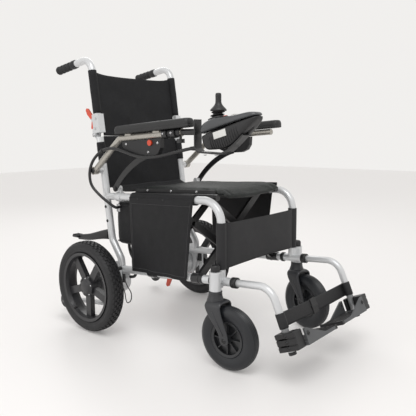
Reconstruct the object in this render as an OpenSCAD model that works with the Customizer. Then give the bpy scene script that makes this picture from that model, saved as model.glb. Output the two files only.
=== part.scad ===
// Folding power wheelchair: two tubular side frames joined by a folding cross brace,
// two hub-side drive motors, swivel casters, flip-up armrests and footplates.

/* [Wheels] */
// Radius of the drive tyres
drive_r = 159; // [150:1:170]
// Width of the drive tyres
drive_w = 56; // [50:1:60]
// Distance from the centre plane to each drive wheel's mid plane
drive_x = 285; // [280:1:300]
// Radius of the drive rims
rim_r = 121; // [110:1:126]
// Radius of the caster tyres
caster_r = 95; // [90:1:98]
// Width of the caster tyres
caster_w = 42; // [36:1:46]
// How far each caster wheel trails its stem
caster_trail = 50; // [45:1:60]
// Swivel of the right caster in degrees
caster_turn_right = 4; // [-10:1:10]
// Swivel of the left caster in degrees
caster_turn_left = -12; // [-15:1:10]

/* [Side frames] */
// Half of the distance between the two side frames' tubes
frame_x = 195; // [190:1:205]
// Outer radius of the frame tubes
tube_r = 12.7; // [12:0.1:13.5]
// Height of the top side tube at its rear end
top_rear_z = 466; // [455:1:475]
// Height of the top side tube at its front bend
top_front_z = 487; // [480:1:495]
// Height of the lower side tube at its rear end
low_rear_z = 213; // [208:1:218]
// Height of the lower side tube at its front collar
low_front_z = 252; // [248:1:256]

/* [Seat and back] */
// Half of the distance between the seat rails
rail_x = 158; // [152:1:162]
// Radius of the seat rails
rail_r = 10; // [9:0.5:11]
// Width of the upholstery of the seat
seat_w = 336; // [320:1:344]

/* [Arms and feet] */
// Distance from the centre plane to each arm tube
arm_x = 232; // [231:0.5:236]
// Radius of the arm tubes
arm_r = 10.5; // [9:0.5:11]
// Length of each arm pad
pad_len = 330; // [300:5:340]
// Radius of the footrest tubes
foot_r = 10.9; // [10:0.1:11]
// Depth of each footplate
plate_d = 80; // [70:1:90]

/* [Hidden] */
$fn = 48;
gap = 0.4;
running = 0.05;
RIGHT = -1;
LEFT = 1;
silver = [0.78, 0.79, 0.8];
black = [0.1, 0.1, 0.11];
grey = [0.32, 0.33, 0.35];
red = [0.9, 0.2, 0.08];
champagne = [0.62, 0.6, 0.54];

// Places along the chair: Y runs from the front (-) to the back (+), the rear axle is at y = 0
top_rear_y = -6;
top_front_y = -520;
low_rear_y = -68;
low_front_y = -560;
low_slope = (low_front_z - low_rear_z) / (low_rear_y - low_front_y);
low_pitch = atan(low_slope);
function low_z(y) = low_rear_z + low_slope * (low_rear_y - y);
top_slope = (top_front_z - top_rear_z) / (top_rear_y - top_front_y);
function top_z(y) = top_rear_z + top_slope * (top_rear_y - y);
hinge_y = 48;
hinge_z = 680;
pivot_y = 15;
pivot_z = 558;
head_x = frame_x + tube_r + 18;
head_y = -522;
post_r = tube_r;
low_r = tube_r + 0.3;
top_r = tube_r - 0.3;
head_z0 = 228;
head_z1 = 285;
foot_bend = [-695, low_z(-695)];
foot_end = [-768, 90];
foot_lean = atan((foot_bend[0] - foot_end[0]) / (foot_bend[1] - foot_end[1]));
grip_end = [256, 919];
front_y = -808.95;
rear_y = grip_end[0] + 7.13;
shift_y = -(front_y + rear_y) / 2;

// Folding cross brace: each bar runs from a sleeve on one lower tube to the opposite seat rail
rail_z = 485;
fold_y = -345;
foot_z = low_z(fold_y);
bar_dx = frame_x + rail_x;
bar_dz = (rail_z - foot_z) * cos(low_pitch);
bar_tilt = atan(bar_dz / bar_dx);
cross_dz = bar_dz * frame_x / bar_dx;
function rail_at(y) = rail_z + top_slope * (fold_y - y);

// ---- Helpers ----

// Moves the construction frame so that the floor centre of the whole chair is the origin
module placed() {
    translate([0, shift_y, 0]) children();
}

// Puts a piece drawn for the left side (x > 0) on the chosen side
module on_side(side) {
    placed() mirror([side < 0 ? 1 : 0, 0, 0]) children();
}

// Turns a drawing whose X is the chair's Y and whose Y is the chair's Z into the YZ plane
module upright() {
    rotate([90, 0, 90]) children();
}

// Distance between two points of a plane
function dist(a, b) = norm(b - a);
function heading(a, b) = atan2(b[1] - a[1], b[0] - a[0]);
function turn_of(a) = a > 180 ? a - 360 : a < -180 ? a + 360 : a;

// A round bar or tube bent in one plane through the points, with one bend radius. The straights
// run a little way into the bends, which are a hair thicker, so that each joint is a clean one.
bend_lap = 0.6;
bend_swell = 0.04;
module bent_tube(points, r, bend) {
    n = len(points);
    turns = [for (i = [0 : n - 1]) i == 0 || i == n - 1 ? 0 :
        turn_of(heading(points[i], points[i + 1]) - heading(points[i - 1], points[i]))];
    cuts = [for (t = turns) t == 0 ? 0 : bend * tan(abs(t) / 2) - bend_lap];
    upright() for (i = [0 : n - 2]) {
        a = heading(points[i], points[i + 1]);
        translate(points[i]) rotate([0, 0, a]) {
            translate([cuts[i], 0, 0]) rotate([0, 90, 0])
                cylinder(r = r, h = dist(points[i], points[i + 1]) - cuts[i] - cuts[i + 1]);
            if (turns[i] != 0) {
                s = sign(turns[i]);
                translate([cuts[i] + bend_lap, s * bend, 0])
                    rotate([0, 0, s > 0 ? -90 - abs(turns[i]) : 90])
                        rotate_extrude(angle = abs(turns[i]))
                            translate([bend, 0]) circle(r = r + bend_swell);
            }
        }
    }
}

// A flat link in the drawing plane: two round ends and the straight sides between them, which
// start a hair inside the ends' circles so that each joint is a clean one
side_in = 0.03;
module link(p1, r1, p2, r2) {
    d = dist(p1, p2);
    lean = acos((r1 - r2) / d);
    a = heading(p1, p2);
    translate(p1) circle(r = r1);
    translate(p2) circle(r = r2);
    polygon([for (k = [[p1, r1, lean], [p2, r2, lean], [p2, r2, -lean], [p1, r1, -lean]])
        k[0] + (k[1] - side_in) * [cos(a + k[2]), sin(a + k[2])]]);
}

// A bar with rounded corners seen along Z
module round_rect(w, d, r) {
    for (x = [-1, 1], y = [-1, 1])
        translate([x * (w / 2 - r), y * (d / 2 - r)]) circle(r = r);
    square([w - 2 * r, d], center = true);
    square([w, d - 2 * r], center = true);
}

// Rings of a swept cord: the frame at each point leans halfway between its two neighbours
function unit(v) = v / norm(v);
function tangent(p, i) = unit(p[min(i + 1, len(p) - 1)] - p[max(i - 1, 0)]);
function side_of(t) = unit(cross(t, abs(t[2]) > 0.95 ? [1, 0, 0] : [0, 0, 1]));
function ring(p, i, r, sides, s, t) = [for (k = [0 : sides - 1])
    p[i] + r * (cos(360 * k / sides) * s + sin(360 * k / sides) * cross(t, s))];
function carry(s, t) = unit(s - (s * t) * t);
function sides_along(p, i = 0, s = undef, out = []) = i == len(p) ? out :
    let (t = tangent(p, i), now = s == undef ? side_of(t) : carry(s, t))
    sides_along(p, i + 1, now, concat(out, [now]));
// A smooth run through hand-set points, with a few steps between each pair
function smooth_at(p, i, f) = let (
    a = p[max(i - 1, 0)], b = p[i], c = p[min(i + 1, len(p) - 1)], d = p[min(i + 2, len(p) - 1)])
    0.5 * (2 * b + (c - a) * f + (2 * a - 5 * b + 4 * c - d) * f * f
    + (3 * b - a - 3 * c + d) * f * f * f);
function smooth(p, steps) = concat(
    [for (i = [0 : len(p) - 2], k = [0 : steps - 1]) smooth_at(p, i, k / steps)],
    [p[len(p) - 1]]);

module cord(route, r, steps = 3, sides = 8) {
    p = smooth(route, steps);
    n = len(p);
    across = sides_along(p);
    points = [for (i = [0 : n - 1]) each ring(p, i, r, sides, across[i], tangent(p, i))];
    faces = concat(
        [[for (k = [0 : sides - 1]) k]],
        [[for (k = [sides - 1 : -1 : 0]) (n - 1) * sides + k]],
        [for (i = [0 : n - 2], k = [0 : sides - 1])
            [i * sides + k, (i + 1) * sides + k,
             (i + 1) * sides + (k + 1) % sides, i * sides + (k + 1) % sides]]);
    polyhedron(points = points, faces = faces, convexity = 8);
}

// ---- Side frames (all side pieces are drawn for x > 0) ----

// A round bar along the lower tube's line, from y0 forward to y1
module along_low(y0, y1, r) {
    translate([frame_x, y0, low_z(y0)]) rotate([90 - low_pitch, 0, 0])
        cylinder(r = r, h = abs(y1 - y0) / cos(low_pitch));
}

top_pitch = atan(top_slope);
module along_top(y0, y1, r) {
    translate([frame_x, y0, top_z(y0)]) rotate([90 - top_pitch, 0, 0])
        cylinder(r = r, h = abs(y1 - y0) / cos(top_pitch));
}

post = [[low_rear_y, low_rear_z], [-66, 250], [-20, 314], [29.6, 673]];
post_lean = atan((post[3][0] - post[2][0]) / (post[3][1] - post[2][1]));
lug_y = -70;
cradle_ys = [-170, -384];
stem_r = 8;
plate_t = 6;
motor_flange_r = 62;
arm_pin_r = 6;

module axle_plate() {
    translate([frame_x - plate_t / 2, 0, 0]) upright() linear_extrude(plate_t)
        difference() {
            link([0, drive_r], 66, [-64, 226], 16);
            translate([0, drive_r]) circle(r = 52.5);
        }
}

lug_z = top_z(lug_y) + 30;
stay_x = frame_x + 18;
stay_t = 4;
lug_pin_r = 4;
module arm_lug() {
    along_top(lug_y + 11, lug_y - 11, 16.5);
    translate([frame_x - 4, 0, 0]) upright() linear_extrude(8)
        link([lug_y, lug_z - 14], 10, [lug_y, lug_z], 9);
    translate([frame_x, lug_y, lug_z]) rotate([0, 90, 0]) {
        cylinder(r = 7, h = stay_x - gap - frame_x);
        cylinder(r = lug_pin_r, h = stay_x + stay_t + 2 - frame_x);
    }
}

// Lug and pin of the folding back at the top of the rear post
back_pin_r = 4;
lug_half = 5;
module back_lug() {
    translate([frame_x - lug_half, 0, 0]) upright() linear_extrude(2 * lug_half)
        link([34, 664], 8, [hinge_y, hinge_z], 7);
    translate([frame_x - 13, hinge_y, hinge_z]) rotate([0, 90, 0])
        cylinder(r = back_pin_r, h = 26);
}

// Saddle that the seat rail rests in
module cradle(y) {
    top = rail_at(y) - rail_r - gap;
    translate([rail_x - 8, y - 9, top - 9]) cube([frame_x - rail_x + 8, 18, 9]);
    translate([rail_x - 14, y - 9, top - 9]) cube([3, 18, 15]);
    translate([rail_x - 13, y - 9, top - 9]) cube([10, 18, 6]);
}

module head_tube() {
    translate([head_x, head_y, head_z0]) cylinder(r = 18, h = head_z1 - head_z0);
    translate([frame_x + 5, head_y - 9, head_z0 + 5]) cube([16, 18, head_z1 - head_z0 - 10]);
}

module side_frame(side) {
    color(silver) on_side(side) difference() {
        union() {
            translate([frame_x, 0, 0]) bent_tube(post, post_r, 40);
            translate([frame_x, 0, 0])
                bent_tube([[top_rear_y, top_rear_z], [top_front_y, top_front_z],
                    [top_front_y, low_z(top_front_y)]], top_r, 62);
            along_low(low_rear_y + 14, low_front_y, low_r);
            head_tube();
            axle_plate();
            arm_lug();
            back_lug();
            for (y = cradle_ys) cradle(y);
            translate([frame_x, pivot_y, pivot_z]) rotate([0, 90, 0]) {
                cylinder(r = arm_pin_r, h = arm_x + 11 - frame_x);
                cylinder(r = 11, h = arm_x - arm_r - 0.6 - frame_x);
            }
        }
        along_low(low_front_y + 140, low_front_y - 5, foot_r + running);
        translate([head_x, head_y, head_z0 - 1])
            cylinder(r = stem_r + running, h = head_z1 - head_z0 + 2);
    }
}

// Fabric panel: a sleeve round the top tube and a sheet that hangs outside the lower tube
panel_y0 = -138;
panel_y1 = -426;
module side_panel(side) {
    color(black) on_side(side) {
        difference() {
            along_top(panel_y0, panel_y1, 17.5);
            along_top(panel_y0 + 1, panel_y1 - 1, tube_r + gap);
            translate([0, panel_y1 - 5, top_front_z - 40])
                cube([frame_x, panel_y0 - panel_y1 + 10, 34]);
        }
        translate([frame_x + 16, 0, 0]) upright() linear_extrude(2.4)
            polygon([[panel_y0, top_z(panel_y0) + 5], [panel_y1, top_z(panel_y1) + 5],
                [-396, 229], [-143, 221]]);
    }
}

// Curved flat stay that carries the armrest's latch
stay_low = [lug_y, lug_z];
stay_high = [-240, 616];
stay_r = 340;
module arm_stay(side) {
    half = dist(stay_low, stay_high) / 2;
    drop = sqrt(stay_r * stay_r - half * half);
    a = heading(stay_low, stay_high);
    centre = (stay_low + stay_high) / 2 + drop * [cos(a + 90), sin(a + 90)];
    a0 = heading(centre, stay_low);
    a1 = heading(centre, stay_high);
    steps = 14;
    function arc(r) = [for (k = [0 : steps]) let (t = a0 + (a1 - a0) * k / steps)
        centre + r * [cos(t), sin(t)]];
    outer = arc(stay_r + 10);
    inner = arc(stay_r - 10);
    color(black) on_side(side) translate([stay_x, 0, 0]) upright()
        linear_extrude(stay_t) difference() {
            union() {
                polygon(concat(outer, [for (k = [steps : -1 : 0]) inner[k]]));
                translate(stay_low) circle(r = 11);
                translate(stay_high) circle(r = 11);
            }
            translate(stay_low) circle(r = lug_pin_r + running);
        }
}

// ---- Drive ----

shaft_x0 = 126;
shaft_r = 8;
module motor(side) {
    color(silver) on_side(side) translate([0, 0, drive_r]) rotate([0, 90, 0]) {
        translate([0, 0, 140]) cylinder(r = 50, h = 10);
        translate([0, 0, 149.5]) cylinder(r = 52, h = frame_x + plate_t / 2 + 1 - 149.5);
        translate([0, 0, frame_x + plate_t / 2 + gap]) cylinder(r = motor_flange_r, h = 8);
        translate([0, 0, frame_x + plate_t / 2 + 8]) cylinder(r = 44, h = 38);
        translate([0, 0, shaft_x0]) cylinder(r = shaft_r, h = drive_x + 20 - shaft_x0);
    }
}

clutch_x = 131;
clutch_tip = [38, 62];
module clutch_lever(side) {
    color(red) on_side(side) translate([clutch_x, 0, 0]) upright() linear_extrude(8)
        difference() {
            link([0, drive_r], 16, clutch_tip, 8);
            translate([0, drive_r]) circle(r = shaft_r + running);
        }
}

anti_x = 214;
anti_wheel = [222, 50];
module anti_tip_arm(side) {
    color(silver) on_side(side) {
        translate([anti_x, 0, 0])
            bent_tube([[-76, 199], [-78, 96], [-20, 80], anti_wheel], 9, 30);
        translate([frame_x + 3.2, -90, 168]) cube([anti_x - frame_x - 5, 24, 30]);
        translate([anti_x, anti_wheel[0], anti_wheel[1]]) rotate([0, 90, 0])
            cylinder(r = 4, h = 36);
    }
    color(black) on_side(side) {
        translate([frame_x - 7, 0, 0]) upright() linear_extrude(14) difference() {
            link([-14, 332], 20, [196, 296], 9);
            polygon([[-60, 250], [-14.3, 256], [15.5, 470], [-60, 470]]);
        }
        translate([frame_x - 16, 168, 296]) cube([32, 34, 12]);
    }
}

module anti_tip_wheel(side) {
    color(black) on_side(side)
        translate([anti_x + 11, anti_wheel[0], anti_wheel[1]]) rotate([0, 90, 0])
            rotate_extrude() polygon([[4 + running, 0], [12, 0], [12, 3], [24, 3], [27, 5], [28, 8],
                [28, 14], [27, 17], [24, 19], [12, 19], [12, 22], [4 + running, 22]]);
}

spokes = 5;
module drive_rim(side) {
    color([0.16, 0.16, 0.17]) on_side(side) translate([drive_x, 0, drive_r]) rotate([0, 90, 0]) {
        rotate_extrude() polygon([[rim_r - 10, -24], [rim_r, -26], [rim_r, -22], [rim_r - 7, -14],
            [rim_r - 7, 14], [rim_r, 22], [rim_r, 26], [rim_r - 10, 24], [rim_r - 14, 12],
            [rim_r - 14, -12]]);
        difference() {
            translate([0, 0, -22]) cylinder(r = 34, h = 40);
            translate([0, 0, -23]) cylinder(r = shaft_r + running, h = 44);
        }
        for (k = [0 : spokes - 1]) rotate([0, 0, k * 360 / spokes])
            translate([26, -13, -8]) cube([rim_r - 14 - 24, 26, 18]);
    }
}

module drive_tyre(side) {
    half = drive_w / 2;
    color(black) on_side(side) translate([drive_x, 0, drive_r]) rotate([0, 90, 0])
        rotate_extrude($fn = 96) polygon([[rim_r + 0.4, -21.5], [rim_r + 0.4, -24],
            [drive_r - 20, -half],
            [drive_r - 9, -half + 1], [drive_r - 3, -half + 8], [drive_r, -half + 18],
            [drive_r, half - 18], [drive_r - 3, half - 8], [drive_r - 9, half - 1],
            [drive_r - 20, half], [rim_r + 0.4, 24], [rim_r + 0.4, 21.5], [rim_r - 5, 13.5],
            [rim_r - 5, -13.5]]);
}

// ---- Casters ----

function caster_turn(side) = side == RIGHT ? caster_turn_right : caster_turn_left;

// Puts a caster piece, drawn with its stem at the origin and its wheel forward, in place
module on_caster(side) {
    placed() translate([side * head_x, head_y, 0]) rotate([0, 0, caster_turn(side)]) children();
}

module caster_fork(side) {
    arm_gap = caster_w / 2 + 4;
    color([0.2, 0.21, 0.22]) on_caster(side) {
        translate([0, 0, head_z0 - 0.4]) cylinder(r = stem_r, h = head_z1 - head_z0 + 16);
        translate([0, 0, head_z1 + 0.6]) cylinder(r = 13, h = 18);
        translate([0, 0, head_z0 - 32]) cylinder(r = 19, h = 31.6);
        translate([-arm_gap - 5, -34, head_z0 - 37]) cube([2 * arm_gap + 10, 50, 12]);
        for (s = [-1, 1]) translate([s * (arm_gap + 3.5) - 3.5, 0, 0]) upright() linear_extrude(7) {
            link([-9, head_z0 - 48], 24, [-caster_trail, caster_r], 13);
        }
        translate([-arm_gap - 9, -caster_trail, caster_r]) rotate([0, 90, 0])
            cylinder(r = 5, h = 2 * arm_gap + 18);
    }
}

module caster_rim(side) {
    color([0.14, 0.14, 0.15]) on_caster(side) translate([0, -caster_trail, caster_r])
        rotate([0, 90, 0]) {
            rotate_extrude() polygon([[5 + running, -caster_w / 2 - 1], [13, -caster_w / 2 - 1],
                [13, -5], [46, -4], [46, -15], [54, -17], [54, 17], [46, 15], [46, 4], [13, 5],
                [13, caster_w / 2 + 1], [5 + running, caster_w / 2 + 1]]);
            for (k = [0 : 7], s = [-1, 1]) rotate([0, 0, k * 45])
                translate([12, -1.5, s > 0 ? 3 : -13]) cube([35, 3, 10]);
        }
}

module caster_tyre(side) {
    half = caster_w / 2;
    color([0.12, 0.12, 0.13]) on_caster(side) translate([0, -caster_trail, caster_r])
        rotate([0, 90, 0]) rotate_extrude($fn = 96) polygon([[54.3, -17], [66, -half + 2],
            [78, -half], [87, -half + 4], [93, -half + 11], [caster_r, -half + 17],
            [caster_r, half - 17], [93, half - 11], [87, half - 4], [78, half], [66, half - 2],
            [54.3, 17]]);
}

// ---- Footrests ----

tip_x = 18;
plate_hinge_x = 179;
plate_hinge_z = 14;
block_z0 = 13;
block_h = 50;

// The leg's own frame: the tube's end is the origin and local Z runs up the leg
module on_leg() {
    translate([0, foot_end[0], foot_end[1]]) rotate([-foot_lean, 0, 0]) children();
}

module footrest_tube(side) {
    color(silver) on_side(side) {
        translate([frame_x, 0, 0])
            bent_tube([[low_front_y + 130, low_z(low_front_y + 130)], foot_bend, foot_end],
                foot_r, 55);
        difference() {
            along_low(low_front_y - 1, low_front_y - 20, 16);
            along_low(low_front_y, low_front_y - 21, foot_r - 0.5);
        }
    }
    color(black) on_side(side) on_leg() difference() {
        translate([plate_hinge_x + 2, -43, block_z0])
            cube([222 - plate_hinge_x - 2, 66, block_h]);
        translate([frame_x + 4, -foot_r - 1, block_z0 - 1]) cube([40, 2 * foot_r + 2, block_h + 2]);
        translate([frame_x, 0, block_z0 - 1]) cylinder(r = foot_r - 0.5, h = block_h + 2);
    }
}

module footplate(side) {
    web_h = 46;
    color(grey) on_side(side) on_leg() {
        translate([tip_x, -plate_d / 2 - 10, plate_hinge_z])
            cube([plate_hinge_x - tip_x, plate_d, 9]);
        for (y = [-plate_d / 2 - 10, plate_d / 2 - 16]) translate([0, y + 6, 0])
            rotate([90, 0, 0]) linear_extrude(6) difference() {
                polygon([[plate_hinge_x - 1, plate_hinge_z], [plate_hinge_x - 1, 14 + web_h],
                    [plate_hinge_x - 10, 14 + web_h], [84, 24], [60, 22], [60, plate_hinge_z]]);
                translate([plate_hinge_x - 12, 44]) circle(r = 5);
            }
        translate([plate_hinge_x, -plate_d / 2 - 10, plate_hinge_z + 10]) rotate([-90, 0, 0])
            cylinder(r = 1.4, h = plate_d);
    }
}

// ---- Back canes and grips ----

cane_low = [hinge_y - 18, hinge_z + 4];
cane_corner = [66, 947];
cane_lean = atan((cane_corner[0] - cane_low[0]) / (cane_corner[1] - cane_low[1]));
grip_slope = heading(cane_corner, grip_end);
grip_len = 112;

// The upper cane's own frame: the cane's foot is the origin and local Z runs up the cane
module on_cane() {
    translate([0, cane_low[0], cane_low[1]]) rotate([-cane_lean, 0, 0]) children();
}

block_half = 13.2;
ear_in = lug_half + gap;
lever_pivot = [62, 733];
lever_pin_r = 2.5;
module back_cane(side) {
    color(silver) on_side(side) {
        translate([frame_x, 0, 0])
            bent_tube([cane_low + 6 * unit(cane_corner - cane_low), cane_corner, grip_end],
                tube_r, 45);
        difference() {
            union() {
                on_cane() translate([frame_x - block_half, -16.5, 4])
                    cube([2 * block_half, 33, 65]);
                for (x = [-block_half, ear_in]) translate([frame_x + x, 0, 0]) upright()
                    linear_extrude(block_half - ear_in)
                        link([hinge_y, hinge_z], 7, [hinge_y - 2, hinge_z + 18], 7);
                for (x = [-6.5, 3.5]) translate([frame_x + x, 0, 0]) upright()
                    linear_extrude(3) link(lever_pivot, 6, [lever_pivot[0] - 13, lever_pivot[1]], 6);
                translate([frame_x - 6, lever_pivot[0], lever_pivot[1]]) rotate([0, 90, 0])
                    cylinder(r = lever_pin_r, h = 12);
            }
            on_cane() translate([frame_x, 0, 3]) cylinder(r = tube_r - 0.5, h = 67);
            translate([frame_x - ear_in, hinge_y, hinge_z]) rotate([0, 90, 0])
                cylinder(r = 7.6, h = 2 * ear_in);
            translate([frame_x - 20, hinge_y, hinge_z]) rotate([0, 90, 0])
                cylinder(r = back_pin_r + running, h = 40);
        }
    }
}

module grip(side) {
    color(black) on_side(side)
        translate([frame_x, grip_end[0] + 4, grip_end[1] + 4 * tan(grip_slope)])
        rotate([90 + grip_slope, 0, 0]) difference() {
            cylinder(r = 15.5, h = grip_len);
            translate([0, 0, 3.6]) cylinder(r = tube_r + 0.15, h = grip_len);
        }
}

module back_lever(side) {
    color(red) on_side(side) translate([frame_x - 3, 0, 0]) upright() linear_extrude(6)
        difference() {
            union() {
                link(lever_pivot, 7, [88, 758], 9);
                link([88, 758], 9, [95, 768], 7);
                link(lever_pivot, 7, [69, 706], 5);
            }
            translate(lever_pivot) circle(r = lever_pin_r + running);
        }
}

// ---- Armrests ----

arm_rear = [-125, 669];
arm_front = [-405, 686.5];
arm_slope = (arm_front[1] - arm_rear[1]) / (arm_rear[0] - arm_front[0]);
function arm_z(y) = arm_rear[1] + arm_slope * (arm_rear[0] - y);
pad_y = -112;
pad_h = 27;
pad_w = 42;
button_at = [-272, 655];
button_r = 9;

module arm_tube(side) {
    color(champagne) on_side(side) difference() {
        union() {
            translate([arm_x, 0, 0]) bent_tube([[pivot_y, pivot_z], arm_rear, arm_front], arm_r, 30);
            translate([arm_x - 8, pivot_y, pivot_z]) rotate([0, 90, 0]) cylinder(r = 14, h = 18);
            for (y = [pad_y - 60, pad_y - 190]) translate([arm_x - 9, y - 14, arm_z(y) + 4])
                cube([18, 28, arm_r - 3.4]);
        }
        translate([arm_x - 20, pivot_y, pivot_z]) rotate([0, 90, 0])
            cylinder(r = arm_pin_r + running, h = 50);
    }
}

module arm_pad(side) {
    color([0.16, 0.16, 0.17]) on_side(side)
        translate([arm_x, pad_y, arm_z(pad_y) + arm_r + 1.6]) rotate([-atan(arm_slope), 0, 0])
            translate([0, -pad_len / 2, 0]) linear_extrude(pad_h)
                round_rect(pad_w, pad_len, 17);
}

module arm_guard(side) {
    color(black) on_side(side) difference() {
        translate([arm_x - 11, 0, 0]) upright() linear_extrude(16) polygon([[-138, 658],
            [-318, 669.4], [-316, 640], [-304, 622], [-280, 612], [-215, 608], [-168, 622],
            [-140, 642]]);
        translate([arm_x - 12, button_at[0], button_at[1]]) rotate([0, 90, 0])
            cylinder(r = button_r + running, h = 18);
    }
}

module arm_button(side) {
    color(red) on_side(side) translate([arm_x - 5, button_at[0], button_at[1]])
        rotate([0, 90, 0]) cylinder(r = button_r, h = 15);
}

// ---- Folding brace ----

// Drawn for the brace whose foot is on the left tube and whose rail is on the right
bar_w = 24;
bar_t = 11;
sleeve_r = 15.4;
brace_ys = [-240, -436];
sleeve_half = 22;
cross_bolt_r = 5;
rail_y0 = -112;
rail_y1 = -478;

// The fold's own frame: the middle of the chair at the lower tubes, local Y along those tubes
module on_fold() {
    placed() translate([0, fold_y, foot_z]) rotate([-low_pitch, 0, 0]) children();
}
function fold_at(y) = (y - fold_y) / cos(low_pitch);

// The side chooses which face of the crossing the bars lie on, so that they pass each other
module brace(side) {
    shift = (side == RIGHT ? 1 : -1) * (bar_t / 2 + 0.5);
    color(black) difference() {
        union() {
            on_fold() mirror([side < 0 ? 1 : 0, 0, 0]) for (y = brace_ys)
                translate([frame_x, fold_at(y) + shift, 0]) {
                    rotate([0, bar_tilt - 180, 0]) translate([10, -bar_t / 2, -bar_w / 2])
                        cube([norm([bar_dx, bar_dz]) - 15, bar_t, bar_w]);
                    rotate([-90, 0, 0]) translate([0, 0, -sleeve_half])
                        cylinder(r = sleeve_r, h = 2 * sleeve_half);
                }
            on_side(side) translate([-rail_x, rail_y0, rail_at(rail_y0)])
                rotate([90 - top_pitch, 0, 0])
                    cylinder(r = rail_r, h = (rail_y0 - rail_y1) / cos(top_pitch));
        }
        on_side(side) along_low(rail_y0, rail_y1 - 60, low_r + running);
        on_fold() for (y = side == LEFT ? brace_ys : [])
            translate([0, fold_at(y) - 30, cross_dz]) rotate([-90, 0, 0])
                cylinder(r = cross_bolt_r + running, h = 60);
    }
    if (side == RIGHT) color(silver) on_fold() for (y = brace_ys)
        translate([0, fold_at(y) - 18, cross_dz]) rotate([-90, 0, 0]) {
            cylinder(r = cross_bolt_r, h = 36);
            cylinder(r = 9, h = 5);
            translate([0, 0, 31]) cylinder(r = 9, h = 5);
        }
}

// ---- Upholstery and straps ----

seat_y0 = -108;
seat_y1 = -505;
seat_t = 17;
module seat_upholstery() {
    color([0.2, 0.22, 0.21]) placed() translate([0, seat_y0, rail_at(seat_y0) + rail_r + 1.6])
        rotate([-top_pitch, 0, 0]) translate([0, (seat_y1 - seat_y0) / 2, 0])
            linear_extrude(seat_t) round_rect(seat_w, seat_y0 - seat_y1, 24);
}

sleeve_in = tube_r + gap;
sleeve_out = 15.2;
module back_upholstery_upper() {
    color(black) placed() on_cane() difference() {
        union() {
            for (s = [-1, 1]) translate([s * frame_x, 0, 72]) cylinder(r = sleeve_out, h = 152);
            translate([-frame_x, -1.5, 72]) cube([2 * frame_x, 3, 138]);
        }
        for (s = [-1, 1]) translate([s * frame_x, 0, 71]) cylinder(r = sleeve_in, h = 154);
    }
}

module back_upholstery_lower() {
    color(black) placed() translate([0, post[2][0], post[2][1]]) rotate([-post_lean, 0, 0])
        difference() {
            union() {
                for (s = [-1, 1]) translate([s * frame_x, 0, 270])
                    cylinder(r = sleeve_out, h = 74);
                translate([-frame_x, -1.5, 270]) cube([2 * frame_x, 3, 88]);
                translate([-frame_x + 20, -1.5, 178]) cube([2 * frame_x - 40, 3, 100]);
            }
            for (s = [-1, 1]) translate([s * frame_x, 0, 177]) cylinder(r = sleeve_in, h = 190);
        }
}

calf_z0 = 286;
calf_z1 = 424;
module calf_band() {
    color(black) placed() difference() {
        union() {
            for (s = [-1, 1]) translate([s * frame_x, top_front_y, calf_z0])
                cylinder(r = sleeve_out, h = calf_z1 - calf_z0);
            translate([-frame_x, top_front_y - sleeve_out, calf_z0])
                cube([2 * frame_x, 2.2, calf_z1 - calf_z0]);
        }
        for (s = [-1, 1]) translate([s * frame_x, top_front_y, calf_z0 - 1])
            cylinder(r = sleeve_in, h = calf_z1 - calf_z0 + 2);
    }
}

strap_z0 = 72;
strap_h = 42;
module calf_strap() {
    color(black) placed() on_leg() difference() {
        union() {
            for (s = [-1, 1]) translate([s * frame_x, 0, strap_z0]) cylinder(r = 13.6, h = strap_h);
            translate([-frame_x, 11.6, strap_z0]) cube([2 * frame_x, 2, strap_h]);
            translate([-14, 9, strap_z0 - 3]) cube([28, 7, strap_h + 6]);
        }
        for (s = [-1, 1]) translate([s * frame_x, 0, strap_z0 - 1])
            cylinder(r = foot_r + gap, h = strap_h + 2);
    }
}

// ---- Power ----

battery_box = [56, 118, 150];
battery_at = [-180, -136, 298];
module battery() {
    color(black) placed() {
        translate(battery_at) {
            translate([battery_box[0] / 2, battery_box[1] / 2, 0]) linear_extrude(battery_box[2])
                round_rect(battery_box[0], battery_box[1], 12);
            for (y = [24, 94]) translate([4, y - 10, battery_box[2] - 30]) cube([3, 20, 44]);
            translate([-4, 86, 132]) rotate([0, 90, 0]) cylinder(r = 7.5, h = 6);
        }
    }
}

lead_route = [[-152, -60, 297.2], [-152, -60, 284], [-153, -68, 262], [-155, -84, 244],
    [-158, -100, 222], [-158, -98, 196], [-154, -84, 179.4], [-154, -62, 174]];
loop_route = [[-178, -56, 188], [-182, -64, 172], [-188, -84, 152], [-188, -104, 130],
    [-188, -102, 104], [-188, -84, 90], [-186, -72, 100], [-184, -66, 120], [-182, -56, 138]];
module battery_cables() {
    color(black) placed() {
        cord(lead_route, 5.5, 3, 10);
        cord(loop_route, 1.8, 3, 8);
    }
}

// ---- Controller on the right armrest ----

ctrl_tilt = 14.5;
ctrl_x = -221;
ctrl_at = [ctrl_x, -575, 702];
ctrl_w = 66;
stick_y = 40;
ball_z = 10;
module on_controller() {
    placed() translate(ctrl_at) rotate([-ctrl_tilt, 0, 0]) children();
}

module controller_plan(inset = 0) {
    translate([0, 8]) round_rect(ctrl_w - 2 * inset, 178, 16);
    translate([0, -78]) circle(r = 26 - inset);
    polygon([[-33 + inset, -60], [33 - inset, -60], [26 - inset, -80], [-26 + inset, -80]]);
}

base_side = [[97, 0], [96, -26], [84, -40], [18, -52], [-8, -46], [-70, -18], [-104, -6],
    [-104, 0]];
module controller_base() {
    color([0.13, 0.13, 0.14]) on_controller() difference() {
        intersection() {
            translate([0, 0, -60]) linear_extrude(60) controller_plan(0.5);
            translate([-ctrl_w, 0, 0]) upright() linear_extrude(2 * ctrl_w) polygon(base_side);
        }
        translate([0, stick_y, -30]) cylinder(r = 21, h = 40);
    }
}

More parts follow.
